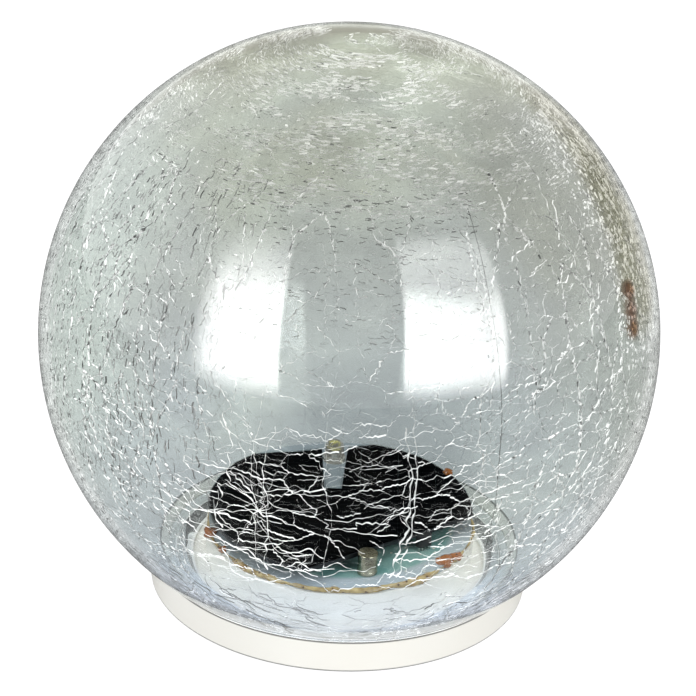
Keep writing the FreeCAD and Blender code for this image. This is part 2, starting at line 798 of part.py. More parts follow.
# ---------------------------------------------------------------- write every piece
def main():
    save("globe_glass", globe_glass())
    save("globe_gasket", globe_gasket())
    save("globe_sealant", globe_sealant())
    save("base_housing", base_housing())
    save("bottom_cover", bottom_cover())
    save("cover_screws", cover_screws())
    for number, (x, y) in enumerate(around(foot_circle, foot_count), 1):
        save(f"foot_{number}", foot(x, y))
    save("battery_door", battery_door())
    save("door_gasket", door_gasket())
    save("door_screw", door_screw())
    save("battery_can", battery_can())
    save("battery_sleeve", battery_sleeve())
    save("battery_insulator", battery_insulator())
    save("battery_cap", battery_cap())
    save("plate_contact", plate_contact())
    save("spring_contact", spring_contact())
    save("switch_body", switch_body())
    save("switch_knob", switch_knob())
    save("driver_board", driver_board())
    save("board_sealant", board_sealant())
    save("smoothing_capacitor", smoothing_capacitor())
    save("boost_inductor", boost_inductor())
    save("driver_chip", driver_chip())
    save("component_legs", component_legs())
    save("solder_joints", solder_joints())
    save("panel_base", panel_base())
    for index in range(strip_count):
        save(f"solar_cell_{index + 1}", solar_cell(index))
    save("panel_coating", panel_coating())
    for number, (x, y) in enumerate(pad_places, 1):
        save(f"foam_pad_{number}", foam_pad(x, y))
    save("panel_lead_red", panel_lead(0))
    save("panel_lead_black", panel_lead(1))
    save("battery_lead_red", battery_lead(1))
    save("battery_lead_black", battery_lead(-1))
    save("switch_lead_1", switch_lead(0))
    save("switch_lead_2", switch_lead(1))
    save("switch_terminals", switch_terminals())
    save("led_lens", led_lens())
    save("led_legs", led_leg_pair(0))
    save("led_phosphor", led_phosphor())
    save("led_spacer", led_spacer())
    print("height", round(globe_z + globe_radius, 2), "ring", round(foot_ring_radius, 2),
          "lip", round(lip_z, 2), "globe z", round(globe_z, 2), "mouth", round(mouth_radius, 2),
          "board", round(board_z, 2), "panel top", round(coat_top, 2), "led top", round(led_top, 2))


main()
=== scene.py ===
# %% [markdown]
# # A crackled garden globe light
# The real object is a clear glass ball, cracked all over on purpose by dipping hot glass in cold water, and
# stuck into a low white base. The base carries a round dark solar panel, a small light on legs and a driver
# board. The CAD model already holds every solid at its true size. This file gives the pieces their looks:
# the glass and its cracks are built again as finer surfaces, and every other node gets a procedural
# material.

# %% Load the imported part
import json
import math

import bmesh
import bpy
import numpy as np
from mathutils import Matrix, Vector


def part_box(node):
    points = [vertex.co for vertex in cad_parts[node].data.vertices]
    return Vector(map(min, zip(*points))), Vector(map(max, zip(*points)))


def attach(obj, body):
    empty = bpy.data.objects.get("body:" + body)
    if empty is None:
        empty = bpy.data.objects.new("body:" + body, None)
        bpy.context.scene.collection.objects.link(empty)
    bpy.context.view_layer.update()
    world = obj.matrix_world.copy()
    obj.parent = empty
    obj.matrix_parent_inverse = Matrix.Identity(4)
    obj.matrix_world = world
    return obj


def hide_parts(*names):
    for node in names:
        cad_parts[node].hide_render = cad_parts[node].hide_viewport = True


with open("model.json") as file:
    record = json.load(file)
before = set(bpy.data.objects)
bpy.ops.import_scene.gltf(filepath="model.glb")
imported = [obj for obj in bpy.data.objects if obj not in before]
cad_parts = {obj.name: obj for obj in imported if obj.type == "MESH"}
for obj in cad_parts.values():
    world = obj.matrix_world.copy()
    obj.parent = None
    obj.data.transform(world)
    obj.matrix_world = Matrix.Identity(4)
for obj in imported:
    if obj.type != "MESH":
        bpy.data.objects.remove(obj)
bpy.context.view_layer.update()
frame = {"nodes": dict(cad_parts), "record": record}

nodes = frame["nodes"]

# %% [markdown]
# ## Sizes taken from the CAD nodes
# Blender works in metres here. The globe is measured from its own CAD node, so the new glass follows the
# solid if the part is ever built at another size. The cut at the mouth is the node's lowest point.

# %% Measure the globe
MM = 0.001
glass_low, glass_high = np.array(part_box("globe_glass"))
globe_radius = (glass_high[0] - glass_low[0]) / 2
globe_centre = np.array([0.0, 0.0, glass_high[2] - globe_radius])
glass_wall = 2.4 * MM
mouth_level = glass_low[2]
print("globe radius", round(globe_radius / MM, 2), "mm, centre height", round(globe_centre[2] / MM, 2), "mm")

# %% [markdown]
# ## Mesh helpers
# Each new surface is worked out as whole numpy arrays: points first, then a table of faces that says which
# points belong together. Smooth noise comes from a lattice of random numbers, blended between its corners.

# %% Numbers to meshes
def placed_object(name, data):
    """A new object in the scene, at the origin."""
    piece = bpy.data.objects.new(name, data)
    bpy.context.scene.collection.objects.link(piece)
    return piece


def make_mesh(name, points, faces, smooth=True, shades=None, caps=()):
    """Points and quads, with caps of triangles after them, to an object at the origin. Shades, one number a
    point, are kept as the attribute shade."""
    mesh = bpy.data.meshes.new(name)
    mesh.from_pydata(points.tolist(), [], sum((cap.tolist() for cap in caps), faces.tolist()))
    mesh.polygons.foreach_set("use_smooth", np.full(len(mesh.polygons), smooth))
    if shades is not None:
        attribute = mesh.attributes.new("shade", "FLOAT", "POINT")
        attribute.data.foreach_set("value", np.ascontiguousarray(shades, np.float32).ravel())
    mesh.update()
    print(name, len(points), "points,", len(faces), "faces")
    return placed_object(name, mesh)


def grid_faces(rows, columns, closed_rows=False, closed_columns=False):
    """Quads between the neighbours of a rows x columns grid of points, joined end to end where closed."""
    row = np.arange(rows if closed_rows else rows - 1)[:, None]
    column = np.arange(columns if closed_columns else columns - 1)[None, :]
    next_row, next_column = (row + 1) % rows, (column + 1) % columns
    corners = [row * columns + column, row * columns + next_column,
               next_row * columns + next_column, next_row * columns + column]
    return np.stack(corners, -1).reshape(-1, 4)


hash_factors = np.array([73856093, 19349663, 83492791])


def lattice_noise(points, cell, seed):
    """Smooth values from -1 to 1: each point lies in a cube of side cell, whose 8 corners hold random
    values that are mixed by 3t^2 - 2t^3 along each axis."""
    table = np.random.default_rng(seed).uniform(-1, 1, 4096)
    place = np.asarray(points) / cell
    low = np.floor(place).astype(np.int64)
    share = place - low
    share = share * share * (3 - 2 * share)
    total = np.zeros(place.shape[:-1])
    for corner in np.ndindex(2, 2, 2):
        spot = np.bitwise_xor.reduce((low + np.array(corner)) * hash_factors, axis=-1) % len(table)
        weight = np.prod(np.where(np.array(corner) == 1, share, 1 - share), axis=-1)
        total += weight * table[spot]
    return total


def two_waves(points, long, short, share, seed):
    """Noise of a long wave length and a share of noise of a shorter one."""
    return lattice_noise(points, long, seed) + share * lattice_noise(points, short, seed + 1)


def round_axis(radius, angle, height):
    """Points (r cos a, r sin a, z) round the upright axis."""
    return np.stack(np.broadcast_arrays(radius * np.cos(angle), radius * np.sin(angle), height), -1)


def unit(vectors):
    """Each vector divided by its own length."""
    return vectors / np.linalg.norm(vectors, axis=-1, keepdims=True)

# %% [markdown]
# ## Shader helpers
# Most materials here are moulded or printed surfaces that need the same two things: a colour that drifts a
# little over the surface, and a fine grain that breaks up the gloss. Both are one node group, built once
# and placed in each material with its own values. A second group draws the specks of dust and glue that
# show inside the globe.

# %% Placing and feeding nodes
def feed(tree, socket, value):
    """A plain value onto a socket, or a link when the value is itself a socket."""
    if isinstance(value, bpy.types.NodeSocket):
        tree.links.new(value, socket)
    else:
        socket.default_value = value


def spaced(title):
    """The keyword From_Min as the socket title From Min."""
    return title.replace("_", " ")


def add_node(tree, kind, *feeds, **named):
    """A new shader node. Feeds go to its inputs in order. Named ones are properties of the node in small
    letters, and inputs with a capital, such as From_Min."""
    node = tree.nodes.new("ShaderNode" + kind)
    for title in filter(str.islower, named):
        setattr(node, title, named[title])
    for socket, value in zip(node.inputs, feeds):
        feed(tree, socket, value)
    for title, value in named.items():
        if title[0].isupper():
            feed(tree, node.inputs[spaced(title)], value)
    return node


def math_of(tree, operation, *feeds, **named):
    return add_node(tree, "Math", *feeds, operation=operation, **named).outputs["Value"]


def vector_of(tree, operation, *feeds):
    """A vector sum. Length, distance and dot product give a number, the others a vector."""
    node = add_node(tree, "VectorMath", *feeds, operation=operation)
    return node.outputs["Value" if operation in ("LENGTH", "DISTANCE", "DOT_PRODUCT") else "Vector"]


def ramp(tree, value, low, high, bottom=0.0, top=1.0, bend="LINEAR"):
    """Bottom to top as the value goes from low to high, and level beyond them."""
    scale = add_node(tree, "MapRange", value, low, high, bottom, top, interpolation_type=bend)
    return scale.outputs["Result"]


def with_alpha(colour):
    """Three numbers of a colour and full alpha, or the colour's socket as it is."""
    return (*colour, 1) if isinstance(colour, tuple) else colour


def mixed(tree, under, colour, factor):
    """A colour laid over another by a factor socket. Each is plain or comes from a socket."""
    mix = add_node(tree, "Mix", data_type="RGBA", Factor=factor, A=with_alpha(under), B=with_alpha(colour))
    return mix.outputs["Result"]


def object_place(tree):
    return add_node(tree, "TexCoord").outputs["Object"]


def axis_distance(tree):
    """How far a point is from the upright axis: the length of (x, y, 0)."""
    return vector_of(tree, "LENGTH", vector_of(tree, "MULTIPLY", object_place(tree), (1, 1, 0)))


def mixed_shaders(tree, factor, first, second):
    return add_node(tree, "MixShader", factor, first, second).outputs["Shader"]


def clear_shader(tree):
    return add_node(tree, "BsdfTransparent").outputs["BSDF"]


# %% Shared node groups
def new_group(name, inputs, outputs):
    """An empty shader node group. Each socket is named with a value, and a tuple makes it a colour."""
    group = bpy.data.node_groups.new(name, "ShaderNodeTree")
    for side, sockets in [("INPUT", inputs), ("OUTPUT", outputs)]:
        for title, value in sockets.items():
            kind = "NodeSocketColor" if isinstance(value, tuple) else "NodeSocketFloat"
            group.interface.new_socket(spaced(title), in_out=side, socket_type=kind).default_value = value
    return group, group.nodes.new("NodeGroupInput").outputs, group.nodes.new("NodeGroupOutput").inputs


drift_edges = (0.35, 0.65)


def surface_grain_group():
    """Colour, roughness and height of a surface: colour is mixed by slow noise, the rest follows fine
    noise."""
    group, given, made = new_group(
        "surface grain",
        dict(Colour=(0.8, 0.8, 0.8, 1), Drift=(0.7, 0.7, 0.7, 1), Drift_Scale=60.0, Grain_Scale=1500.0,
             Roughness=0.4, Spread=0.1),
        dict(Colour=(0.8, 0.8, 0.8, 1), Roughness=0.4, Height=0.0))
    place = object_place(group)
    slow = add_node(group, "TexNoise", Vector=place, Scale=given["Drift Scale"], Detail=4).outputs["Fac"]
    fine = add_node(group, "TexNoise", Vector=place, Scale=given["Grain Scale"], Detail=2).outputs["Fac"]
    share, off_middle = ramp(group, slow, *drift_edges), math_of(group, "SUBTRACT", fine, 0.5)
    rough = math_of(group, "MULTIPLY_ADD", off_middle, given["Spread"], given["Roughness"])
    feed(group, made["Colour"], mixed(group, given["Colour"], given["Drift"], share))
    feed(group, made["Roughness"], rough)
    feed(group, made["Height"], fine)
    return group


def speck_group():
    """A mask of small round specks: the distance to scattered points is cut off at Size."""
    group, given, made = new_group("specks", dict(Scale=400.0, Size=0.16), dict(Mask=0.0))
    dots = add_node(group, "TexVoronoi", Vector=object_place(group), Scale=given["Scale"])
    feed(group, made["Mask"], math_of(group, "LESS_THAN", dots.outputs["Distance"], given["Size"]))
    return group


surface_grain = surface_grain_group()
specks = speck_group()


def placed_group(tree, group, **values):
    """The outputs of the group, placed in the tree with its own values."""
    return add_node(tree, "Group", node_tree=group, **values).outputs


# %% Materials from the groups
def new_material(name):
    material = bpy.data.materials.new(name)
    material.use_nodes = True
    return material


def shader_of(material):
    return material.node_tree.nodes["Principled BSDF"]


def set_shader(material, **values):
    """Values or sockets onto the inputs of the material's own shader."""
    for title, value in values.items():
        feed(material.node_tree, shader_of(material).inputs[spaced(title)], value)


def show_surface(material, surface):
    """The shader socket as the material's surface. It isn't counted among the lamps."""
    feed(material.node_tree, material.node_tree.nodes["Material Output"].inputs["Surface"], surface)
    material.cycles.emission_sampling = "NONE"


relief_depth = 0.1 * MM


def finish_of(name, colour, drift, roughness, spread=0.12, drift_scale=60.0, grain_scale=1500.0, bump=0.1,
              **plain):
    """A Principled material on the surface grain group. Plain values go straight onto the shader's
    sockets."""
    material = new_material(name)
    tree = material.node_tree
    grain = placed_group(tree, surface_grain, Colour=(*colour, 1), Drift=(*drift, 1), Drift_Scale=drift_scale,
                         Grain_Scale=grain_scale, Roughness=roughness, Spread=spread)
    relief = add_node(tree, "Bump", Strength=bump, Distance=relief_depth, Height=grain["Height"])
    set_shader(material, Base_Color=grain["Colour"], Roughness=grain["Roughness"],
               Normal=relief.outputs["Normal"], **plain)
    return material


def lay_over(material, colour, factor):
    """Another colour over what feeds the material's Base Color, by a factor socket."""
    under = shader_of(material).inputs["Base Color"].links[0].from_socket
    set_shader(material, Base_Color=mixed(material.node_tree, under, colour, factor))
    return material


def add_specks(material, colour, scale, size):
    """Specks of another colour over the material's Base Color."""
    dots = placed_group(material.node_tree, specks, Scale=scale, Size=size)
    return lay_over(material, colour, dots["Mask"])

# %% [markdown]
# ## The crack network
# Cracked glass breaks into small flat-sided fields, and the cracks run on edge through the wall like tiny
# fins. Seen face on they are hair lines, and towards the rim of the ball they turn their sides to us and
# glitter. Bump or texture can't do that, so the cracks are real ribbons inside the wall. Their plan is the
# Voronoi pattern of scattered points: the hull of points on a sphere joins each to its neighbours, and the
# directions of two touching hull faces are the ends of one cell edge.

# %% Cell edges on a sphere
def scattered(count, seed):
    """A golden spiral on the unit sphere, z = 1 - (2i + 1) / n and turn = i times the golden angle, shaken
    by about half a cell."""
    index = np.arange(count)
    height = 1 - (2 * index + 1) / count
    turn = index * math.pi * (3 - math.sqrt(5))
    flat = np.sqrt(1 - height ** 2)
    even = round_axis(flat, turn, height)
    shake = 0.55 * math.sqrt(4 * math.pi / count)
    return unit(even + np.random.default_rng(seed).normal(0, shake, (count, 3)))


def face_vectors(mesh, title):
    """One vector of every face, such as its normal or its center."""
    values = np.zeros(len(mesh.polygons) * 3)
    mesh.polygons.foreach_get(title, values)
    return values.reshape(-1, 3)


def cell_edges(sites):
    """Start and end of every Voronoi edge, as unit vectors."""
    mesh = bpy.data.meshes.new("hull")
    mesh.from_pydata(sites.tolist(), [], [])
    hull = bmesh.new()
    hull.from_mesh(mesh)
    bmesh.ops.convex_hull(hull, input=hull.verts)
    bmesh.ops.triangulate(hull, faces=hull.faces)
    hull.to_mesh(mesh)
    hull.free()
    normals = face_vectors(mesh, "normal")
    normals *= np.sign(np.sum(normals * face_vectors(mesh, "center"), axis=1))[:, None]
    loop_edge = np.zeros(len(mesh.loops), np.int32)
    mesh.loops.foreach_get("edge_index", loop_edge)
    bpy.data.meshes.remove(mesh)
    pairs = (np.argsort(loop_edge, kind="stable") // 3).reshape(-1, 2)
    return normals[pairs[:, 0]], normals[pairs[:, 1]]


def squashed(directions, share):
    """The same directions after the sphere is pressed to this share of its height, which lengthens the
    cells sideways."""
    return unit(directions * np.array([1, 1, share]))


def broken_lines(starts, ends, steps, wander, seed):
    """Each edge in steps: the straight way plus a sideways jump of wander times its length at the inner
    points."""
    share = np.linspace(0, 1, steps + 1)[None, :, None]
    straight = starts[:, None] * (1 - share) + ends[:, None] * share
    across = np.cross(starts, ends - starts)[:, None]
    jump = np.random.default_rng(seed).normal(0, wander, (len(starts), steps + 1, 1))
    jump[:, [0, -1]] = 0
    return unit(straight + jump * across)

# %% [markdown]
# A crack is a ribbon that follows such a line. Its upper edge lies at one depth under the outer skin, its
# lower edge deeper, and it leans a little to one side, so that it never vanishes even when it faces the
# eye. The number shade is painted reflection: it says how much light a stretch throws back and sets its
# colour, 1 a mirror-bright crack, 0 a dark one.

# %% Directions and slow noise
def east_of(places):
    """The way to the east at each place: the upright axis x place."""
    return unit(np.cross([0.0, 0.0, 1.0], places))


def direction(longitude, latitude):
    """Unit vectors from longitude (0 is the front, east is positive) and latitude, in degrees."""
    turn, lift = np.radians(longitude), np.radians(latitude)
    return np.stack([np.sin(turn) * np.cos(lift), -np.cos(turn) * np.cos(lift), np.sin(lift)], -1)


def drift_along(lines, cell, seed):
    """Slow noise at each point of the lines, 0 to 1."""
    return 0.5 + 0.5 * lattice_noise(lines * globe_radius, cell, seed)


def near_to(directions, middle, outer, inner):
    """0 to 1 as the directions come from outer to inner degrees of the middle one."""
    low, high = math.cos(math.radians(outer)), math.cos(math.radians(inner))
    return np.clip((directions @ middle - low) / (high - low), 0, 1)


panel_way = direction(0, -14)


def over_panel(directions):
    """1 on the part of the ball in front of the black panel, where every crack shows as an unbroken white
    line, painted white as a reflection."""
    return near_to(directions, panel_way, 33, 20)


# %% Ribbons inside the wall
skin_gap, mouth_gap = 0.12 * MM, 0.8 * MM


def ribbons(lines, top, height, lean, shade):
    """Points at centre + direction * (radius - depth). The lower row goes sideways by height times lean."""
    forward = np.gradient(lines, axis=1)
    sideways = unit(np.cross(lines, forward))
    rows = (np.broadcast_to(value, lines.shape[:2])[..., None] for value in (top, height, lean, shade))
    top, height, lean, shade = rows
    height = np.minimum(height, glass_wall - skin_gap - top)
    upper = lines * (globe_radius - top)
    lower = lines * (globe_radius - top - height) + sideways * height * lean
    points = np.stack([upper, lower], 2) + globe_centre
    clear = points[..., 2].min(axis=(1, 2)) > mouth_level + mouth_gap
    points, shade = points[clear], np.repeat(shade[clear], 2, axis=2)
    count, steps = points.shape[:2]
    faces = grid_faces(steps, 2)[None] + (np.arange(count) * steps * 2)[:, None, None]
    return points.reshape(-1, 3), faces.reshape(-1, 4), shade.ravel()


def joined(parts):
    """Several sets of points, faces and shades as one."""
    points, faces, shades = zip(*parts)
    offsets = np.cumsum([0] + [len(part) for part in points])
    moved = [part + offset for part, offset in zip(faces, offsets)]
    return np.concatenate(points), np.concatenate(moved), np.concatenate(shades)


def crack_piece(name, parts):
    points, faces, shade = joined(parts)
    return make_mesh(name, points, faces, smooth=False, shades=shade)

# %% [markdown]
# Against the pale room a crack doesn't show as a line. Its small facets mirror now a bright and now a dark
# spot, so the eye sees a string of salt and pepper. In front of the black panel every facet is brighter
# than what is behind it, and the same crack is one white line. Below the panel's rim the ball stands before
# the white drum, and there most cracks are dark. The shade paints these reflections into the cracks'
# colour: beads of white and black, white lines over the panel, and darker cracks below the rim.

# %% Beads along a crack
swell_length, bead_length = 0.9 * MM, 0.5 * MM
# Below -0.40 of the radius, over a band of 0.1, cracks get thinner and their shade is painted darker, as a
# painted dark reflection.
dark_from, dark_soft = 0.40, 0.1


def beaded(lines, heights, seed, even=None, tone=None):
    """Ribbons for lines. Height swells by slow noise. The shade is painted reflection: white over the panel,
    away from it quick noise that is whiter on the right of the ball, and darker below the panel's rim."""
    random = np.random.default_rng(seed + 7)
    even = over_panel(lines) if even is None else even
    swell = drift_along(lines, swell_length, seed + 2)
    bead = 0.7 + 0.35 * lines[..., 0] + 2.2 * lattice_noise(lines * globe_radius, bead_length, seed + 3)
    below = np.clip(-(lines[..., 2] + dark_from) / dark_soft, 0, 1)
    smooth_height, beaded_height = 0.5 + 0.7 * swell ** 2, 0.25 + 1.5 * swell ** 3
    tall = heights * MM * (even * smooth_height + (1 - even) * beaded_height) * (1 - 0.4 * below)
    shade = (even * (0.75 + 0.35 * swell) + (1 - even) * np.clip(bead, 0.03, 1)) * (1 - 0.8 * below)
    lean = random.normal(0, 0.13, (len(lines), 1)) + random.normal(0, 0.05, lines.shape[:2])
    top = skin_gap + random.uniform(0, 0.4, (len(lines), 1)) * MM
    return ribbons(lines, top, tall, lean, np.clip(shade, 0, 1) if tone is None else tone)

# %% [markdown]
# Three nets lie over each other: a coarse one whose cracks run on unbroken, a fine one that shows only in
# patches, and one of tall fields on the flanks. The first two are stretched sideways, as in the photograph,
# where the fields in front are two or three times wider than high.

# %% Coarse, fine and tall nets
patch_length = 14 * MM


def net_lines(count, share, steps, wander, kept, seed):
    """The edges of one Voronoi net, as lines. Kept is the part of them that shows, in patches of slow
    noise."""
    random = np.random.default_rng(seed)
    starts, ends = cell_edges(scattered(count, seed))
    lines = broken_lines(squashed(starts, share), squashed(ends, share), steps, wander, seed)
    patch = drift_along(lines[:, 0], patch_length, seed + 1) * 0.6 + random.uniform(0, 0.4, len(lines))
    return lines[patch < np.quantile(patch, kept)]


def of_heights(lines, low, high, seed):
    """Ribbons along the lines, each of its own height between low and high mm."""
    return beaded(lines, np.random.default_rng(seed).uniform(low, high, (len(lines), 1)), seed)


coarse_lines = net_lines(1700, 0.46, 10, 0.035, 0.85, 3)
fine_lines = net_lines(8000, 0.6, 5, 0.05, 0.2, 11)
tall_lines = net_lines(950, 3.2, 32, 0.012, 0.92, 13)
on_flank = (over_panel(tall_lines[:, 0]) < 0.3) & (np.abs(tall_lines[:, 0, 2]) < 0.72)
tall_lines = tall_lines[on_flank]
in_front = near_to(coarse_lines[:, 0], panel_way, 70, 45)
coarse_lines = coarse_lines[np.random.default_rng(4).uniform(size=len(coarse_lines)) < 0.3 + in_front]
coarse_net = crack_piece("glass_cracks_coarse", [of_heights(coarse_lines, 0.4, 1.0, 3)])
fine_net = crack_piece("glass_cracks_fine", [of_heights(fine_lines, 0.1, 0.36, 11),
                                             of_heights(tall_lines, 0.35, 1.0, 13)])

# %% [markdown]
# Some cracks run up the ball for a long way, like the lines between orange segments, and the side cracks
# fan out from them. One of them, right of the middle, is painted dark as a dark reflection, and it is as
# straight as a mould seam. The longitudes of those in front are read off the photograph, and the others
# are random.

# %% Long upright cracks
def upright_cracks(longitudes, low, high, wander, height, seed, steps=160, **look):
    """Meridians from latitude low to high whose longitude wanders by smooth noise of that many degrees."""
    longitudes = np.asarray(longitudes, float)[:, None]
    low, high = np.asarray(low, float)[:, None], np.asarray(high, float)[:, None]
    latitude = low + (high - low) * np.linspace(0, 1, steps)[None]
    straight = direction(longitudes + 0 * latitude, latitude) * globe_radius
    noise = two_waves(straight, 12 * MM, 2.2 * MM, 0.3, seed)
    return beaded(direction(longitudes + wander * noise, latitude), height, seed, **look)


# %% Side cracks
def ray_cracks(longitudes, latitudes, angles, lengths, wander, heights, seed, steps=30):
    """Cracks that set off at angles from east and run for lengths: start cos a + heading sin a, moved
    sideways by smooth noise that grows from nothing at the start. They get lower towards their ends."""
    random = np.random.default_rng(seed)
    starts = direction(longitudes, latitudes)
    east = east_of(starts)
    angle = np.radians(angles)[:, None]
    heading = east * np.cos(angle) + np.cross(starts, east) * np.sin(angle)
    share = np.linspace(0, 1, steps)[None, :, None]
    arc = share * (lengths * MM / globe_radius)[:, None, None]
    lines = starts[:, None] * np.cos(arc) + heading[:, None] * np.sin(arc)
    noise = two_waves(lines * globe_radius, 6 * MM, 1.7 * MM, 0.35, seed)
    aside = np.cross(starts, heading)[:, None]
    lines = unit(lines + aside * (noise * wander * MM / globe_radius)[..., None] * np.minimum(1, 4 * share))
    return beaded(lines, random.uniform(*heights, (len(lines), 1)) * (1 - 0.6 * share[..., 0]), seed)


def fans(chains, low, high, count, seed):
    """Rays from random places on each chain, half of them east and half west, all nearly level."""
    random = np.random.default_rng(seed)
    longitudes = np.repeat(chains, count)
    total = len(longitudes)
    side = np.where(random.uniform(size=total) < 0.5, 0.0, 180.0) + random.normal(0, 13, total)
    return ray_cracks(longitudes, random.uniform(low, high, total), side, random.uniform(5, 16, total), 2.4,
                      (0.35, 0.9), seed)


def star(longitude, latitude, count, length, seed):
    """Rays from one hub to all sides, shaken a little."""
    random = np.random.default_rng(seed)
    angles = np.arange(count) * 360 / count + random.uniform(-14, 14, count)
    lengths = length * random.uniform(0.5, 1.3, count) * (0.55 + 0.45 * np.abs(np.cos(np.radians(angles))))
    hubs = np.full(count, longitude), np.full(count, latitude)
    return ray_cracks(*hubs, angles, lengths, 2.0, (0.5, 1.0), seed)


random = np.random.default_rng(21)
hidden_count = 27
seen_cracks = [-15.0, -12.8, -2.6, 10.0, 11.2]
seen_tops = [14.0, 8.0, 40.0, 9.0, 20.0]
hidden_cracks = np.linspace(24, 336, hidden_count) + random.uniform(-5, 5, hidden_count)
upright = [upright_cracks(seen_cracks, [-22.0] * len(seen_cracks), seen_tops, 1.8, 1.5, 31)]
hidden_feet, hidden_tops = random.uniform(-35, 0, hidden_count), random.uniform(15, 60, hidden_count)
upright += [upright_cracks(hidden_cracks, hidden_feet, hidden_tops, 5.0, 0.8, 37),
            upright_cracks([27.3], [-18.0], [45.0], 0.25, 0.9, 41, even=1.0, tone=0.1)]
side_cracks = [fans([-15.0, -2.6, 10.0], -22, 10, 7, 43), fans(hidden_cracks, -30, 40, 12, 45),
               star(-14.0, -8.3, 11, 13.0, 47), star(-6.5, -19.0, 7, 8.0, 48), star(10.0, -7.0, 7, 9.0, 49)]
upright_net = crack_piece("glass_cracks_upright", upright)
side_net = crack_piece("glass_cracks_side", side_cracks)

# %% [markdown]
# Along the cracks lie thousands of tiny flakes, each one a short ribbon that leans over. Many are strung
# along the tall net, so that the flanks of the ball glitter in upright chains with quiet glass between.
# Near the top they crowd together in level rows. Over the panel there are almost none.

# %% Places for flakes
off_line = 0.002


def strung(lines, count, spin, seed):
    """Random places on the lines, with the way that the line runs there, spun by a random angle."""
    random = np.random.default_rng(seed)
    lengths = np.linalg.norm(np.diff(lines, axis=1), axis=-1).sum(1)
    which = random.choice(len(lines), count, p=lengths / lengths.sum())
    place = random.uniform(0, lines.shape[1] - 1, count)
    step = np.floor(place).astype(int)
    share = (place - step)[:, None]
    low, high = lines[which, step], lines[which, step + 1]
    middles = unit(low * (1 - share) + high * share + random.normal(0, off_line, (count, 3)))
    return middles, spun(middles, unit(high - low), random.normal(0, spin, (count, 1)))


def strewn(count, longitudes, latitudes, turn, seed):
    """Random places between two longitudes and two latitudes. The way turns from east by turn, mean and
    spread."""
    random = np.random.default_rng(seed)
    around = random.uniform(*longitudes, count)
    levels = np.arcsin(random.uniform(*np.sin(np.radians(latitudes)), count))
    middles = direction(around, np.degrees(levels))
    return middles, spun(middles, east_of(middles), random.normal(*turn, (count, 1)))


def spun(middles, ways, angle):
    """Each way turned about its own place: way cos a + (place x way) sin a."""
    return ways * np.cos(angle) + np.cross(middles, ways) * np.sin(angle)


def thinned(places, seed):
    """The same places without most of those that face the eye or lie over the panel."""
    middles, ways = places
    facing = near_to(middles, direction(0, 4), 40, 20)
    quiet = np.maximum(0.8 * facing, over_panel(middles))
    kept = np.random.default_rng(seed).uniform(size=len(middles)) > quiet
    return middles[kept], ways[kept]


row_press, row_length, row_level = [1, 1, 4], 7 * MM, -0.04


def in_rows(places, seed):
    """Only the places where a noise that is stretched sideways is high, which leaves level rows."""
    middles, ways = places
    kept = lattice_noise(middles * row_press * globe_radius, row_length, seed) > row_level
    return middles[kept], ways[kept]


# %% Flakes
white_shades, dark_shades = (0.75, 1), (0.02, 0.3)
deepest_flake = 1.2


def flakes(places, length, height, lean, bright, seed, steps=1):
    """A short ribbon at each place, painted white or dark as a reflection. Bright is the share of white ones
    among the dark, more on the right.
    """
    random = np.random.default_rng(seed)
    middles, ways = places
    count = len(middles)
    half = random.uniform(*length, (count, 1, 1)) * MM / globe_radius / 2
    share = np.linspace(-1, 1, steps + 1)[None, :, None]
    bend = random.normal(0, 0.12, (count, steps + 1, 1)) * half
    lines = unit(middles[:, None] + ways[:, None] * share * half + np.cross(middles, ways)[:, None] * bend)
    top = skin_gap + random.uniform(0, deepest_flake, (count, 1)) * MM
    tall = random.uniform(*height, (count, 1)) * MM
    tilt = np.clip(random.normal(0, lean, (count, 1)), -1, 1)
    white = random.uniform(size=(count, 1)) < bright + (0.2 * middles[:, :1] if bright > 0 else 0)
    tones = [random.uniform(*shades, (count, 1)) for shades in (white_shades, dark_shades)]
    shade = np.where(white, *tones)
    return ribbons(lines, top, tall, tilt, shade)


# %% Sets of flakes
# Chains along the tall and the coarse net, with fewer in front of the eye.
chained = [
    flakes(thinned(strung(tall_lines, 8600, 0.12, 55), 56), (0.4, 1.3), (0.35, 0.95), 0.12, 0.66, 55),
    flakes(thinned(strung(coarse_lines, 2800, 0.3, 57), 58), (0.3, 1.0), (0.25, 0.6), 0.15, 0.7, 57)]

# Loose ones: upright all round, level rows at the top, level below them, and bright ones round the painted
# streak.
around_upright = strewn(1100, (-180, 180), (-40, 60), (math.pi / 2, 0.2), 51)
top_rows = in_rows(strewn(17000, (-180, 180), (44, 88), (0.0, 0.14), 63), 64)
under_top = strewn(4500, (-180, 180), (26, 64), (0.0, 0.3), 53)
by_streak = strewn(1000, (60, 94), (8, 56), (1.4, 0.2), 65)
loose = [flakes(thinned(around_upright, 52), (0.3, 0.9), (0.25, 0.6), 0.15, 0.6, 51),
         flakes(top_rows, (0.5, 2.0), (0.25, 0.7), 0.15, 0.95, 63),
         flakes(under_top, (0.3, 1.3), (0.2, 0.55), 0.2, 0.72, 53),
         flakes(by_streak, (0.5, 1.7), (0.4, 1.0), 0.15, 0.8, 65)]

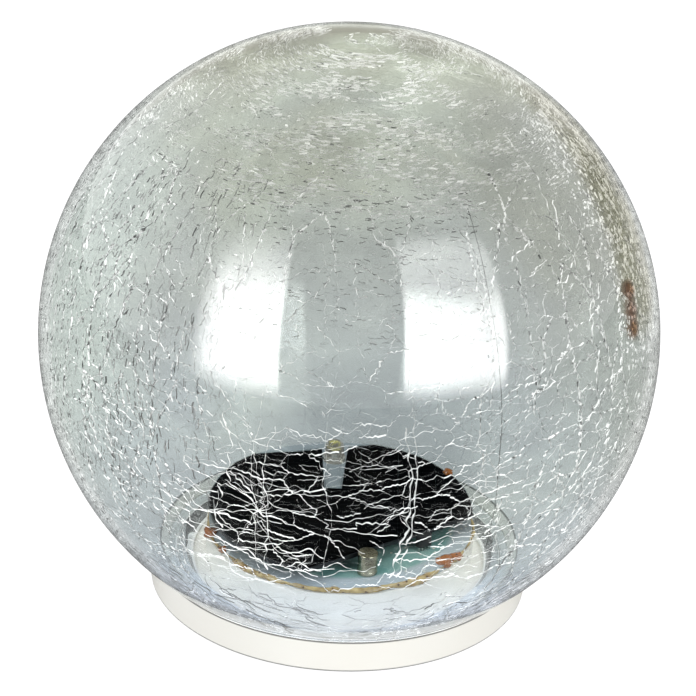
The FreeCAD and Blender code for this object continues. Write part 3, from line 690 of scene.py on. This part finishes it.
# Dark strokes, painted dark reflections: level above the window lights, upright on the left, slanting
# low in front of the white drum.
level_dark = strewn(500, (-28, 28), (22, 50), (-0.05, 0.2), 59)
left_dark = strewn(560, (-66, -22), (-12, 50), (1.62, 0.18), 61)
low_left = strewn(140, (-58, -4), (-47, -31), (-0.7, 0.4), 67)
low_right = strewn(130, (4, 58), (-47, -31), (0.5, 0.7), 69)
strokes = [flakes(level_dark, (0.6, 2.3), (0.3, 0.55), 0.2, 0.0, 59, steps=4),
           flakes(left_dark, (0.8, 2.8), (0.3, 0.65), 0.15, 0.0, 61, steps=3),
           flakes(low_left, (2.0, 7.0), (0.3, 0.6), 0.25, 0.1, 67, steps=5),
           flakes(low_right, (1.8, 6.0), (0.3, 0.6), 0.25, 0.15, 69, steps=5)]
flake_piece = crack_piece("glass_flakes", chained + loose + strokes)

# %% [markdown]
# ## The glass shell
# The ball is blown, so both skins are true surfaces with their own faint waves, and the mouth is cut and
# ground with a small round at each edge. Built as one closed outline turned about the upright axis, it
# refracts twice at each wall as the real one does.

# %% Shell outline turned about Z
shell_columns, shell_rows, edge_steps = 240, 110, 5
ground_edge = 0.3 * MM
outer_wave, outer_sink, inner_wave = 0.012 * MM, 1.4, 0.03 * MM


def arc_outline(radius, rows, drop):
    """Radius and height of a skin from near the pole down to the level drop above the mouth."""
    last = math.acos((mouth_level + drop - globe_centre[2]) / radius)
    angle = np.linspace(0, last, rows + 1)[1:]
    return np.stack([radius * np.sin(angle), globe_centre[2] + radius * np.cos(angle)], -1)


def glass_shell():
    """Rings of points r (cos u, sin u) at height z along the outline: outer skin down, ground edge, inner
    skin up. Each skin moves along its normal by smooth noise, outer skin inwards only."""
    outer = arc_outline(globe_radius, shell_rows, ground_edge)
    inner = arc_outline(globe_radius - glass_wall, shell_rows, ground_edge)[::-1]
    turn = np.linspace(0, math.pi / 2, edge_steps)[:, None]
    outer_round = outer[-1] + ground_edge * np.hstack([np.cos(turn) - 1, -np.sin(turn)])
    inner_round = (inner[0] + ground_edge * np.hstack([1 - np.cos(turn), -np.sin(turn)]))[::-1]
    outline = np.concatenate([outer, outer_round[1:], inner_round[:-1], inner])
    column = np.linspace(0, 2 * math.pi, shell_columns, endpoint=False)
    points = round_axis(outline[:, :1], column, outline[:, 1:])
    out = unit(points - globe_centre)
    wave = lattice_noise(points, 11 * MM, 71) + 0.4 * lattice_noise(points, 5 * MM, 73)
    inside = np.arange(len(outline)) >= len(outer) + edge_steps - 1
    amount = np.where(inside[:, None], inner_wave * wave, outer_wave * (wave - outer_sink))
    points = (points + out * amount[..., None]).reshape(-1, 3)
    poles = np.array([globe_centre + [0, 0, globe_radius], globe_centre + [0, 0, globe_radius - glass_wall]])
    faces = grid_faces(len(outline), shell_columns, closed_columns=True)[:, ::-1]
    ring = np.arange(shell_columns)
    beyond = (ring + 1) % shell_columns
    last = (len(outline) - 1) * shell_columns
    first_pole, last_pole = np.full(shell_columns, len(points)), np.full(shell_columns, len(points) + 1)
    caps = [np.stack([first_pole, ring, beyond], -1), np.stack([last_pole, last + beyond, last + ring], -1)]
    return np.concatenate([points, poles]), faces, caps


shell_points, shell_faces, shell_caps = glass_shell()
globe = make_mesh("globe", shell_points, shell_faces, caps=shell_caps)
side_faces = slice(shell_columns * shell_rows // 2, shell_columns * (shell_rows // 2 + 1))
middle = Vector(globe_centre)
outwards = [face.normal.dot(face.center - middle) > 0 for face in globe.data.polygons[side_faces]]
print("outer skin faces outwards:", all(outwards))

# %% [markdown]
# ## Glass and crack finishes
# The glass is clear with a grey-green tint. Over the tint lie painted light and reflection: it is painted
# lighter and warmer near the top, lighter and bluer near the base, lighter on the left flank and darker on
# the right and in front, and a dark streak with brown spots on the right is a painted reflection. The
# cracks are thin gaps of air that light meets like little rough mirrors. A metal finish would go black
# where the wall traps the light, so they are a plain satin white or black, by the attribute that the
# ribbons carry, which paints what each crack mirrors.

# %% Glass and cracks
# Each cast is a colour, its middle as longitude and latitude, and the degrees from the middle where it
# begins and where it is full. The casts are painted light and reflection on the glass: lighter and darker
# patches by direction, and a painted reflection of a dark streak and brown spots on the right.
painted_glass_casts = [((0.55, 0.58, 0.58), (180, -40), 50, 15), ((0.555, 0.58, 0.57), (42, 22), 34, 12),
               ((0.59, 0.62, 0.585), (80, 8), 45, 12), ((0.765, 0.815, 0.78), (-85, 8), 60, 15),
               ((0.72, 0.78, 0.80), (0, -90), 80, 45), ((0.43, 0.455, 0.45), (7, 3), 24, 6),
               ((0.69, 0.765, 0.87), (0, -62), 46, 26), ((0.47, 0.48, 0.435), (60, 44), 28, 10),
               ((0.50, 0.51, 0.45), (-90, 77), 9, 3), ((0.50, 0.51, 0.45), (90, 80), 7, 2)]
painted_streak = [(88, 51.7), (83, 44.5), (78, 38.9), (75, 33), (72.5, 26.5), (70, 20.5)]
painted_brown_reflection = [(65.2, 21.5), (64.3, 18.2), (63.6, 15.2)]
painted_glass_casts += [((0.38, 0.37, 0.28), place, 11, 2) for place in painted_streak]
painted_glass_casts += [((0.13, 0.05, 0.015), place, 2.8, 0.8) for place in painted_brown_reflection]


def facing_share(tree, way, middle, outer, inner):
    """0 to 1 as a direction comes from outer to inner degrees of the middle one: smooth steps of the dot
    product."""
    low, high = math.cos(math.radians(outer)), math.cos(math.radians(inner))
    return ramp(tree, vector_of(tree, "DOT_PRODUCT", way, middle), low, high, bend="SMOOTHSTEP")


field_press, fields_per_metre, field_contrast = (1, 1, 1.8), 130.0, 0.16


def field_tones(tree, under):
    """Each field between the cracks is one flat tone, a little darker or lighter than the next."""
    pressed = vector_of(tree, "MULTIPLY", object_place(tree), field_press)
    fields = add_node(tree, "TexVoronoi", Vector=pressed, Scale=fields_per_metre).outputs["Color"]
    tone = add_node(tree, "SeparateColor", fields).outputs["Red"]
    return mixed(tree, under, (0.30, 0.31, 0.33), ramp(tree, tone, 0, 1, 0, field_contrast))


def glass_finish():
    """Clear glass. Its tint goes from the wall's own to the painted crown near the top, which is lighter and
    warmer as painted light, with the painted casts of light and reflection laid over."""
    material = new_material("crackled_glass")
    tree = material.node_tree
    tint = placed_group(tree, surface_grain, Colour=(0.66, 0.69, 0.65, 1), Drift=(0.615, 0.635, 0.64, 1),
                        Drift_Scale=26.0)["Colour"]
    painted_crown = placed_group(tree, surface_grain, Colour=(0.81, 0.855, 0.765, 1), Drift=(0.60, 0.615, 0.53, 1),
                         Drift_Scale=45.0)["Colour"]
    way = vector_of(tree, "NORMALIZE", vector_of(tree, "SUBTRACT", object_place(tree), globe_centre))
    under = mixed(tree, tint, painted_crown, facing_share(tree, way, direction(0, 90), 60, 30))
    for colour, middle, outer, inner in painted_glass_casts:
        under = mixed(tree, under, colour, facing_share(tree, way, direction(*middle), outer, inner))
    set_shader(material, Base_Color=field_tones(tree, under), Transmission_Weight=1.0, Roughness=0.0,
               IOR=1.52)
    return material


# The strength of a painted glow, an emission that makes the cracks brighter.
crack_painted_glow = 0.16
far_share = 0.35
near_wall_skins = 2


def far_fade(tree, surface):
    """The far wall lies out of focus in the photograph, so there a crack is mostly clear. A ray that has
    passed both skins of the near wall has come that far."""
    depth = add_node(tree, "LightPath").outputs["Transmission Depth"]
    far = math_of(tree, "GREATER_THAN", depth, near_wall_skins + 0.5)
    return mixed_shaders(tree, math_of(tree, "MULTIPLY", far, 1 - far_share), surface, clear_shader(tree))


def shade_of(tree):
    """The number that each point of a mesh carries as its attribute shade."""
    return add_node(tree, "Attribute", attribute_name="shade").outputs["Fac"]


def crack_finish():
    """Shade mixes dark and white, as painted reflection. The emission is a painted glow in the same colour;
    it stands for the light that a real crack sends on along the wall."""
    material = new_material("glass_crack")
    tree = material.node_tree
    tone = mixed(tree, (0.015, 0.018, 0.016), (1.0, 1.0, 0.99), shade_of(tree))
    set_shader(material, Base_Color=tone, Emission_Color=tone, Emission_Strength=crack_painted_glow, Roughness=0.45)
    show_surface(material, far_fade(tree, shader_of(material).outputs["BSDF"]))
    return material


def unshadowed(piece):
    """Light reaches what lies behind the piece, and the piece adds none to it."""
    piece.visible_shadow = False
    piece.visible_diffuse = False


globe.data.materials.append(glass_finish())
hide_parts("globe_glass")
crack_look = crack_finish()
crack_pieces = [coarse_net, fine_net, upright_net, side_net, flake_piece]
for piece in [globe, *crack_pieces]:
    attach(piece, "lamp")
    unshadowed(piece)
for piece in crack_pieces:
    piece.data.materials.append(crack_look)

# %% [markdown]
# ## The glue bead
# The board is held into the drum by hot glue that has yellowed. It was laid by hand, so it is a lumpy ring
# with a few thick drops, clear gold where it is thin and brown where it is thick. It is a torus whose tube
# radius follows noise, and the drops are separate lumps on it.

# %% Lumpy ring and drops
board_low, board_high = np.array(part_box("driver_board"))
bead_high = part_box("board_sealant")[1]
bead_tube = 1.1 * MM
bead_ring = bead_high[0] - bead_tube
bead_level = (board_low[2] + board_high[2]) / 2


def bead_surface(columns=360, rows=20):
    """Tube of radius a (0.58 + n), kept between 0.12 a and a, round a ring of radius R - w. N and w are
    smooth noise along and across."""
    along = np.linspace(0, 2 * math.pi, columns, endpoint=False)[:, None]
    round_tube = np.linspace(0, 2 * math.pi, rows, endpoint=False)[None]
    lie = round_axis(1, along, 0)
    out = lie * np.cos(round_tube)[..., None] + np.array([0, 0, 1]) * np.sin(round_tube)[..., None]
    line = lie * bead_ring + [0, 0, bead_level]
    wobble = 0.8 * MM * (1 + lattice_noise(line, 7 * MM, 86))[..., None]
    line = line - lie * wobble
    lumps = 0.24 * lattice_noise(line + 0 * out, 3.2 * MM, 81)
    lumps = lumps + 0.14 * lattice_noise(line + out * bead_tube, 1.1 * MM, 83)
    sweep = 0.36 * lattice_noise(line + 0 * out, 14 * MM, 85)
    points = line + out * (bead_tube * np.clip(0.58 + 1.2 * lumps + sweep, 0.12, 1))[..., None]
    thick = np.clip(0.35 + 1.4 * lumps + 0.8 * sweep, 0, 1)
    return points.reshape(-1, 3), grid_faces(columns, rows, True, True)[:, ::-1], thick.ravel()


drop_press = [1, 1, 0.66]


def glue_drop(turn, ring, level, size, seed, columns=28, rows=18):
    """A lump: a ball grid squeezed to two thirds of its height, its radius moved by noise."""
    around = np.linspace(0, 2 * math.pi, columns, endpoint=False)[None]
    down = np.linspace(0.03, math.pi - 0.03, rows)[:, None]
    flat = np.sin(down)
    out = round_axis(flat, around, np.cos(down))
    radius = size * MM * (1 + 0.5 * lattice_noise(out * size * MM + seed, 0.6 * size * MM, seed))
    middle = np.array([ring * math.cos(math.radians(turn)), ring * math.sin(math.radians(turn)), level])
    points = middle + out * radius[..., None] * drop_press
    faces = grid_faces(rows, columns, closed_columns=True)
    half = columns // 2
    near, beyond = np.arange(half - 1), np.arange(1, half)
    caps = np.stack([near, beyond, columns - 1 - beyond, columns - 1 - near], -1)
    last = (rows - 1) * columns
    faces = np.concatenate([faces, caps[:, ::-1], caps + last])
    return points.reshape(-1, 3), faces, np.ones(points[..., 0].size)


# Each drop: its place round the ring in degrees, mm in from the ring and up from the board, its radius in mm.
drop_places = [(-163, 0.4, 0.5, 1.9), (-148, 0.6, 0.4, 1.1), (-36, 1.4, 0.9, 2.2), (-29, 1.0, 0.7, 1.5),
               (33, 1.2, 6.2, 1.2)]
first_drop_seed = 87
drops = [glue_drop(turn, bead_ring - inward * MM, bead_level + up * MM, size, first_drop_seed + number)
         for number, (turn, inward, up, size) in enumerate(drop_places)]
glue_points, glue_faces, glue_thick = joined([bead_surface(), *drops])
glue_bead = make_mesh("glue_bead", glue_points, glue_faces, shades=glue_thick)
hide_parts("board_sealant")
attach(glue_bead, "lamp")

# %% [markdown]
# ## Finishes of the moulded and metal pieces
# Every CAD node keeps its own mesh and takes a finish by the name of its material slot in the record. The
# base is a warm white moulding with a satin skin, the cover and door are the same plastic. Small metal
# pieces differ in tone and blur only, as zinc, nickel and tin do.

# %% Plastics, wires and metals
# Each look: colour, the colour it drifts to, and roughness.
looks = {
    "white_plastic": ((0.86, 0.85, 0.80), (0.83, 0.81, 0.75), 0.32),
    "black_plastic": ((0.02, 0.02, 0.022), (0.035, 0.035, 0.037), 0.45),
    "black_foam": ((0.03, 0.03, 0.03), (0.05, 0.05, 0.05), 0.9),
    "white_foam": ((0.78, 0.78, 0.75), (0.68, 0.68, 0.64), 0.9),
    "grey_rubber": ((0.16, 0.16, 0.165), (0.12, 0.12, 0.125), 0.7),
    "clear_silicone": ((0.78, 0.79, 0.77), (0.70, 0.71, 0.70), 0.35),
    "white_card": ((0.80, 0.80, 0.76), (0.72, 0.71, 0.66), 0.85),
    "cell_sleeve": ((0.05, 0.30, 0.14), (0.04, 0.25, 0.12), 0.22),
    "white_wire": ((0.80, 0.80, 0.78), (0.74, 0.74, 0.71), 0.4),
    "red_wire": ((0.48, 0.02, 0.015), (0.40, 0.02, 0.015), 0.38),
    "black_wire": ((0.015, 0.015, 0.016), (0.03, 0.03, 0.03), 0.38),
    "pale_blue_plastic": ((0.48, 0.55, 0.58), (0.58, 0.64, 0.66), 0.3),
    "yellow_phosphor": ((0.72, 0.68, 0.06), (0.60, 0.55, 0.05), 0.6),
    "inductor_lacquer": ((0.10, 0.26, 0.12), (0.07, 0.20, 0.09), 0.25),
}
metals = {
    "screw_steel": ((0.38, 0.38, 0.39), (0.28, 0.28, 0.29), 0.36),
    "cell_steel": ((0.66, 0.65, 0.62), (0.58, 0.57, 0.55), 0.28),
    "nickel_contact": ((0.66, 0.64, 0.58), (0.56, 0.54, 0.48), 0.3),
    "switch_metal": ((0.62, 0.62, 0.60), (0.54, 0.54, 0.52), 0.34),
    "tinned_wire": ((0.70, 0.70, 0.67), (0.60, 0.60, 0.57), 0.3),
    "solder": ((0.60, 0.60, 0.59), (0.48, 0.48, 0.47), 0.4),
    "capacitor_metal": ((0.70, 0.64, 0.50), (0.30, 0.27, 0.19), 0.2),
}
# Where a grain isn't the common one: foam is coarse, card and rubber are dull, silicone drifts quickly.
grains = {
    "white_plastic": dict(drift_scale=18.0, bump=0.05),
    "black_foam": dict(grain_scale=3500.0, bump=0.6),
    "white_foam": dict(grain_scale=3500.0, bump=0.6),
    "grey_rubber": dict(grain_scale=2500.0, bump=0.3),
    "clear_silicone": dict(drift_scale=150.0, bump=0.3),
    "white_card": dict(grain_scale=4000.0, bump=0.4),
    "cell_sleeve": dict(drift_scale=90.0),
    "yellow_phosphor": dict(grain_scale=6000.0),
    "inductor_lacquer": dict(Coat_Weight=0.4),
    "solder": dict(grain_scale=3000.0, bump=0.4),
    "capacitor_metal": dict(drift_scale=260.0),
}
finishes = {name: finish_of(name, *look, **grains.get(name, {})) for name, look in looks.items()}
for name, look in metals.items():
    finishes[name] = finish_of(name, *look, Metallic=1.0, **grains.get(name, {}))
print(len(finishes), "plain finishes")

# %% [markdown]
# The solar cells are nearly black with a blue cast, ruled by hair-thin silver fingers. The resin over them
# is clear. The driver board is teal inside and pale at its margin, where the mask colour stops short of the
# edge, so its finish reads the distance from the middle of the lamp. The pale margin is partly painted
# light: it lies in the shade under the panel's edge and is made pale so that it reads bright.

# %% Panel, board, resin and glue
# The band where the board turns pale: bare board, and painted light for the shaded strip under the panel.
pale_margin_edge = (28.0 * MM, 29.5 * MM)
ink_edge = 6.5 * MM
fingers_scale, finger_from, finger_tone = 150.0, 0.985, 0.35
bare_board = (0.36, 0.41, 0.43)


def board_finish():
    material = finish_of("teal_board", (0.13, 0.28, 0.26), (0.22, 0.36, 0.33), 0.3, drift_scale=180.0)
    tree = material.node_tree
    lay_over(material, bare_board, ramp(tree, axis_distance(tree), *pale_margin_edge))
    return add_specks(material, (0.62, 0.60, 0.52), 420.0, 0.14)


def panel_back_finish():
    """Black ink in front, bare pale laminate behind the light: the split is a level in Y."""
    material = finish_of("pale_board", bare_board, (0.28, 0.33, 0.36), 0.35, drift_scale=120.0)
    tree = material.node_tree
    depth = add_node(tree, "SeparateXYZ", object_place(tree)).outputs["Y"]
    return lay_over(material, (0.012, 0.013, 0.016), math_of(tree, "LESS_THAN", depth, ink_edge))


def cell_finish():
    """Near black, ruled by thin silver fingers where a wave along Y is at its highest."""
    material = finish_of("dark_cell", (0.0008, 0.0012, 0.0016), (0.004, 0.004, 0.004), 0.3, drift_scale=90.0,
                         Specular_IOR_Level=0.0)
    tree = material.node_tree
    fingers = add_node(tree, "TexWave", wave_type="BANDS", bands_direction="Y", Vector=object_place(tree),
                       Scale=fingers_scale).outputs["Fac"]
    return lay_over(material, (0.05, 0.055, 0.06), ramp(tree, fingers, finger_from, 1, 0, finger_tone))


# The lip and foot lines are painted shade: a dark seam where the glass sits in the base, and a contact shadow
# along the foot.
lip_circle, foot_circle = (46.9 * MM, 8.65 * MM), (47.2 * MM, 0.6 * MM)
lip_painted_shade, foot_painted_shadow = (0.6 * MM, 0.25 * MM), (0.65 * MM, 0.3 * MM)


def ring_line(tree, circle, outer, inner):
    """0 to 1 as a point comes from outer to inner of a level circle round the axis, given as (radius,
    height)."""
    height = add_node(tree, "SeparateXYZ", object_place(tree)).outputs["Z"]
    profile = add_node(tree, "CombineXYZ", axis_distance(tree), height).outputs["Vector"]
    return ramp(tree, vector_of(tree, "DISTANCE", profile, (*circle, 0)), outer, inner, bend="SMOOTHSTEP")


def base_finish():
    """The white plastic with a thin grey line of painted shade along its lip, where the glass sits in it, and
    along its foot, where it stands on the floor.
    """
    material = finish_of("base_plastic", *looks["white_plastic"], **grains["white_plastic"])
    lay_over(material, (0.20, 0.20, 0.19), ring_line(material.node_tree, lip_circle, *lip_painted_shade))
    return lay_over(material, (0.30, 0.30, 0.29), ring_line(material.node_tree, foot_circle, *foot_painted_shadow))


def resin_finish():
    return finish_of("clear_resin", (0.90, 0.91, 0.89), (0.86, 0.87, 0.84), 0.06, spread=0.05, bump=0.05,
                     Transmission_Weight=1.0, IOR=1.02)


def lens_finish():
    """Clear epoxy, a little milky."""
    return finish_of("led_epoxy", (0.82, 0.80, 0.74), (0.72, 0.70, 0.64), 0.12, drift_scale=400.0,
                     Transmission_Weight=0.8, IOR=1.5)


def glue_finish():
    """Gold where the glue is thin and brown where it is thick, with bits of dirt."""
    material = finish_of("amber_sealant", (0.52, 0.40, 0.18), (0.27, 0.19, 0.08), 0.25, drift_scale=500.0,
                         grain_scale=2500.0, bump=0.3, Coat_Weight=0.5)
    tree = material.node_tree
    lay_over(material, (0.30, 0.10, 0.022), ramp(tree, shade_of(tree), 0.55, 0.95))
    return add_specks(material, (0.08, 0.04, 0.02), 700.0, 0.2)


finishes["teal_board"] = board_finish()
finishes["dark_cell"] = cell_finish()
finishes["clear_resin"] = resin_finish()
finishes["amber_sealant"] = glue_finish()
finishes["pale_board"] = panel_back_finish()
glue_bead.data.materials.append(finishes["amber_sealant"])
for name in ("panel_coating", "led_lens"):
    unshadowed(nodes[name])

# %% Dress every CAD node by its slot
def dress(name, material):
    """The material on the node, in place of what it came with."""
    mesh = nodes[name].data
    mesh.materials.clear()
    mesh.materials.append(material)


slots = {row["node"]: row["material_slot"] for row in frame["record"]["subparts"]}
dressed = [name for name in slots if slots[name] in finishes]
for name in dressed:
    dress(name, finishes[slots[name]])
dress("led_lens", lens_finish())
dress("base_housing", base_finish())
print("dressed", len(dressed), "of", len(nodes), "nodes; left:", sorted(set(nodes) - set(dressed)))

# %% [markdown]
# ## Studio
# The photograph has a pure white ground and two large window-like lights that mirror in the ball. The floor
# and the world show as white to the eye and through the glass, and light the lamp at a plain level. In
# reflections they are a grey floor and a pale room with dimmer places. The two bright cards are seen only
# in reflections, so they add no light.

# %% Kinds of rays
def light_path_mask(tree, *kinds):
    """1 for a ray that is any of the named kinds."""
    path = add_node(tree, "LightPath").outputs
    total = path[kinds[0]]
    for kind in kinds[1:]:
        total = math_of(tree, "MAXIMUM", total, path[kind])
    return total


def mirrored_mask(tree):
    """1 for a ray that has been mirrored at least once."""
    return math_of(tree, "GREATER_THAN", add_node(tree, "LightPath").outputs["Glossy Depth"], 0.5)


# %% Floor
dim_middle, dim_reach = (0.0, -0.22, 0.0), (0.15, 0.17)
dim_edge = (1.15, 0.75)
under_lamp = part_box("base_housing")[1][0] - 1 * MM
floor_grey = (0.10, 0.10, 0.10, 1)
floor_half = 3.0


def dim_patch(tree):
    """1 inside an oval in front of the lamp for a ray that has been mirrored, 0 elsewhere, with a soft
    edge."""
    aside = vector_of(tree, "SUBTRACT", object_place(tree), dim_middle)
    scaled = vector_of(tree, "MULTIPLY", aside, (1 / dim_reach[0], 1 / dim_reach[1], 0))
    inside = ramp(tree, vector_of(tree, "LENGTH", scaled), *dim_edge, bend="SMOOTHSTEP")
    depth = add_node(tree, "LightPath").outputs["Glossy Depth"]
    return math_of(tree, "MULTIPLY", depth, inside, use_clamp=True)


def below_mask(tree):
    """1 for a scattered or mirrored ray that meets the floor right under the lamp. It goes on to the plain
    light of the world below, so the underside isn't black when it is looked at from there."""
    near = math_of(tree, "LESS_THAN", vector_of(tree, "LENGTH", object_place(tree)), under_lamp)
    return math_of(tree, "MULTIPLY", near, light_path_mask(tree, "Is Diffuse Ray", "Is Glossy Ray"))


def floor_finish():
    """A matt floor with a lift of plain white for the eye and through the glass. The ball mirrors a dark
    patch of it over the panel, so the panel stays black. Clear from below."""
    material = new_material("studio_floor")
    tree = material.node_tree
    matt = add_node(tree, "BsdfDiffuse", Color=floor_grey).outputs["BSDF"]
    lift = add_node(tree, "Emission", Strength=light_path_mask(tree, "Is Camera Ray", "Is Transmission Ray"))
    lit = add_node(tree, "AddShader", matt, lift.outputs["Emission"]).outputs["Shader"]
    dark = add_node(tree, "Emission", Strength=0).outputs["Emission"]
    dimmed = mixed_shaders(tree, dim_patch(tree), lit, dark)
    from_below = add_node(tree, "NewGeometry").outputs["Backfacing"]
    clear_share = math_of(tree, "MAXIMUM", from_below, below_mask(tree))
    show_surface(material, mixed_shaders(tree, clear_share, dimmed, clear_shader(tree)))
    return material


floor_points = np.array([[-1, -1, 0], [1, -1, 0], [1, 1, 0], [-1, 1, 0]]) * floor_half
floor = make_mesh("studio_floor", floor_points, np.array([[0, 1, 2, 3]]), smooth=False)
floor.data.materials.append(floor_finish())

# %% World
# Each place of the mirrored room has the same four values as a cast of the glass.
mirrored_places = [((0.44, 0.43, 0.37), (0, 90), 60, 25), ((0.50, 0.49, 0.44), (180, 14), 34, 12),
                   ((0.13, 0.12, 0.08), (139, -2), 20, 8), ((0.30, 0.10, 0.02), (126, -10), 4, 2)]


def studio_world():
    """White to the eye and through glass, plain grey-white light elsewhere, and in reflections a pale room
    with a warm dim ceiling, a dimmer back and a brown doorway behind on the right."""
    world = bpy.data.worlds.new("studio")
    bpy.context.scene.world = world
    world.use_nodes = True
    tree = world.node_tree
    plain = add_node(tree, "Background", Color=(0.96, 0.98, 1.0, 1), Strength=0.75).outputs["Background"]
    way, mirrored = add_node(tree, "TexCoord").outputs["Generated"], mirrored_mask(tree)
    room = (1.0, 1.0, 1.0)
    for colour, middle, outer, inner in mirrored_places:
        near = facing_share(tree, way, direction(*middle), outer, inner)
        room = mixed(tree, room, colour, math_of(tree, "MULTIPLY", near, mirrored))
    feed(tree, tree.nodes["Background"].inputs["Color"], room)
    seen = light_path_mask(tree, "Is Camera Ray", "Is Glossy Ray", "Is Transmission Ray")
    both = mixed_shaders(tree, seen, plain, tree.nodes["Background"].outputs["Background"])
    feed(tree, tree.nodes["World Output"].inputs["Surface"], both)


studio_world()

# %% [markdown]
# Near its outline the ball throws light to and fro inside its wall. With the usual few bounces that light
# would be lost and the ball would get a dark rim, so more of them are allowed.

# %% Lamps and bounces
cycles = bpy.context.scene.cycles
cycles.max_bounces, cycles.transparent_max_bounces = 20, 32
cycles.glossy_bounces, cycles.transmission_bounces = 12, 16


def soft_lamp(name, place, size, power):
    """A square area lamp that faces the globe."""
    light = bpy.data.lights.new(name, "AREA")
    light.size = size
    light.energy = power
    lamp = placed_object(name, light)
    lamp.location = place
    lamp.rotation_euler = (Vector(globe_centre) - lamp.location).to_track_quat("-Z", "Y").to_euler()
    lamp.visible_glossy = False
    lamp.visible_transmission = False
    return lamp


soft_lamp("lamp_left", (-1.1, -1.0, 1.0), 0.9, 22)
soft_lamp("lamp_right", (1.1, -0.8, 0.9), 0.9, 20)
soft_lamp("lamp_top", (0.0, 0.2, 1.6), 1.1, 14)

# %% Cards that mirror in the ball
def card_finish(name, upper, lower, step, soft):
    """Bright only after a reflection: strength goes from lower to upper with the card's own height. The
    card fades out over the soft shares of its width and height, at the left, right, foot and top."""
    material = new_material(name)
    tree = material.node_tree
    place = add_node(tree, "SeparateXYZ", add_node(tree, "UVMap").outputs["UV"]).outputs
    glow = add_node(tree, "Emission", Strength=ramp(tree, place["Y"], *step, lower, upper, bend="SMOOTHSTEP"))
    left, right, foot, top = soft
    shown = mirrored_mask(tree)
    for axis, edge, inside in [("X", 0, left), ("X", 1, 1 - right), ("Y", 0, foot), ("Y", 1, 1 - top)]:
        fade = ramp(tree, place[axis], edge, inside, bend="SMOOTHSTEP")
        shown = math_of(tree, "MULTIPLY", fade, shown)
    show_surface(material, mixed_shaders(tree, shown, clear_shader(tree), glow.outputs["Emission"]))
    return material


card_reach = 1.3


def reflection_card(name, corners, material):
    """A four-cornered card whose corners lie in the given directions (azimuth from the front,
    elevation)."""
    ways = np.array(corners, float)
    points = globe_centre + direction(ways[:, 0], ways[:, 1]) * card_reach
    card = make_mesh(name, points, np.array([[0, 1, 2, 3]]), smooth=False)
    layer = card.data.uv_layers.new(name="card")
    layer.data.foreach_set("uv", [0, 0, 1, 0, 1, 1, 0, 1])
    card.data.materials.append(material)
    card.visible_camera = card.visible_diffuse = card.visible_shadow = False
    return card


reflection_card("card_left", [(-55, -5), (-21.6, -2), (-33, 57), (-71, 46)],
                card_finish("card_left", 3.0, 11.0, (0.5, 0.85), (0.4, 0.04, 0.2, 0.22)))
reflection_card("card_right", [(18.4, 0), (56, -3), (71, 46), (24, 59)],
                card_finish("card_right", 4.2, 11.0, (0.44, 0.7), (0.05, 0.07, 0.2, 0.16)))

# %% [markdown]
# ## Camera
# The picture was taken from a little above with a long lens. The distance, height angle, roll and aim below
# make the ball's outline and the foot of the base fall on the same places as in the photograph.

# %% Camera
camera_distance = 0.6
camera_lift, camera_roll = math.radians(24.75), math.radians(-2.81)
aim_side, aim_up = math.radians(-0.01), math.radians(-0.35)
focal_pixels, frame_pixels, sensor = 2471.6, 696, 36.0


def rotation(axis, angle):
    return np.array(Matrix.Rotation(angle, 3, axis))


def camera_axes():
    """Right, up and forward of the camera: level axes turned by the small aim angles, then by the roll."""
    away = np.array([0, -math.cos(camera_lift), math.sin(camera_lift)])
    level = np.array([[1, 0, 0], np.cross([1, 0, 0], -away), -away])
    return away, rotation("Z", camera_roll) @ rotation("X", aim_up) @ rotation("Y", -aim_side) @ level


away, axes = camera_axes()
lens = bpy.data.cameras.new("camera")
lens.sensor_width = sensor
lens.lens = focal_pixels * sensor / frame_pixels
lens.clip_start, lens.clip_end = 0.01, 20
camera = placed_object("camera", lens)
place = np.eye(4)
place[:3, 0], place[:3, 1], place[:3, 2] = axes[0], axes[1], -axes[2]
place[:3, 3] = globe_centre + away * camera_distance
camera.matrix_world = Matrix(place)
bpy.context.scene.camera = camera
bpy.context.scene.view_settings.view_transform = "Standard"
print("lens", round(lens.lens, 1), "mm")
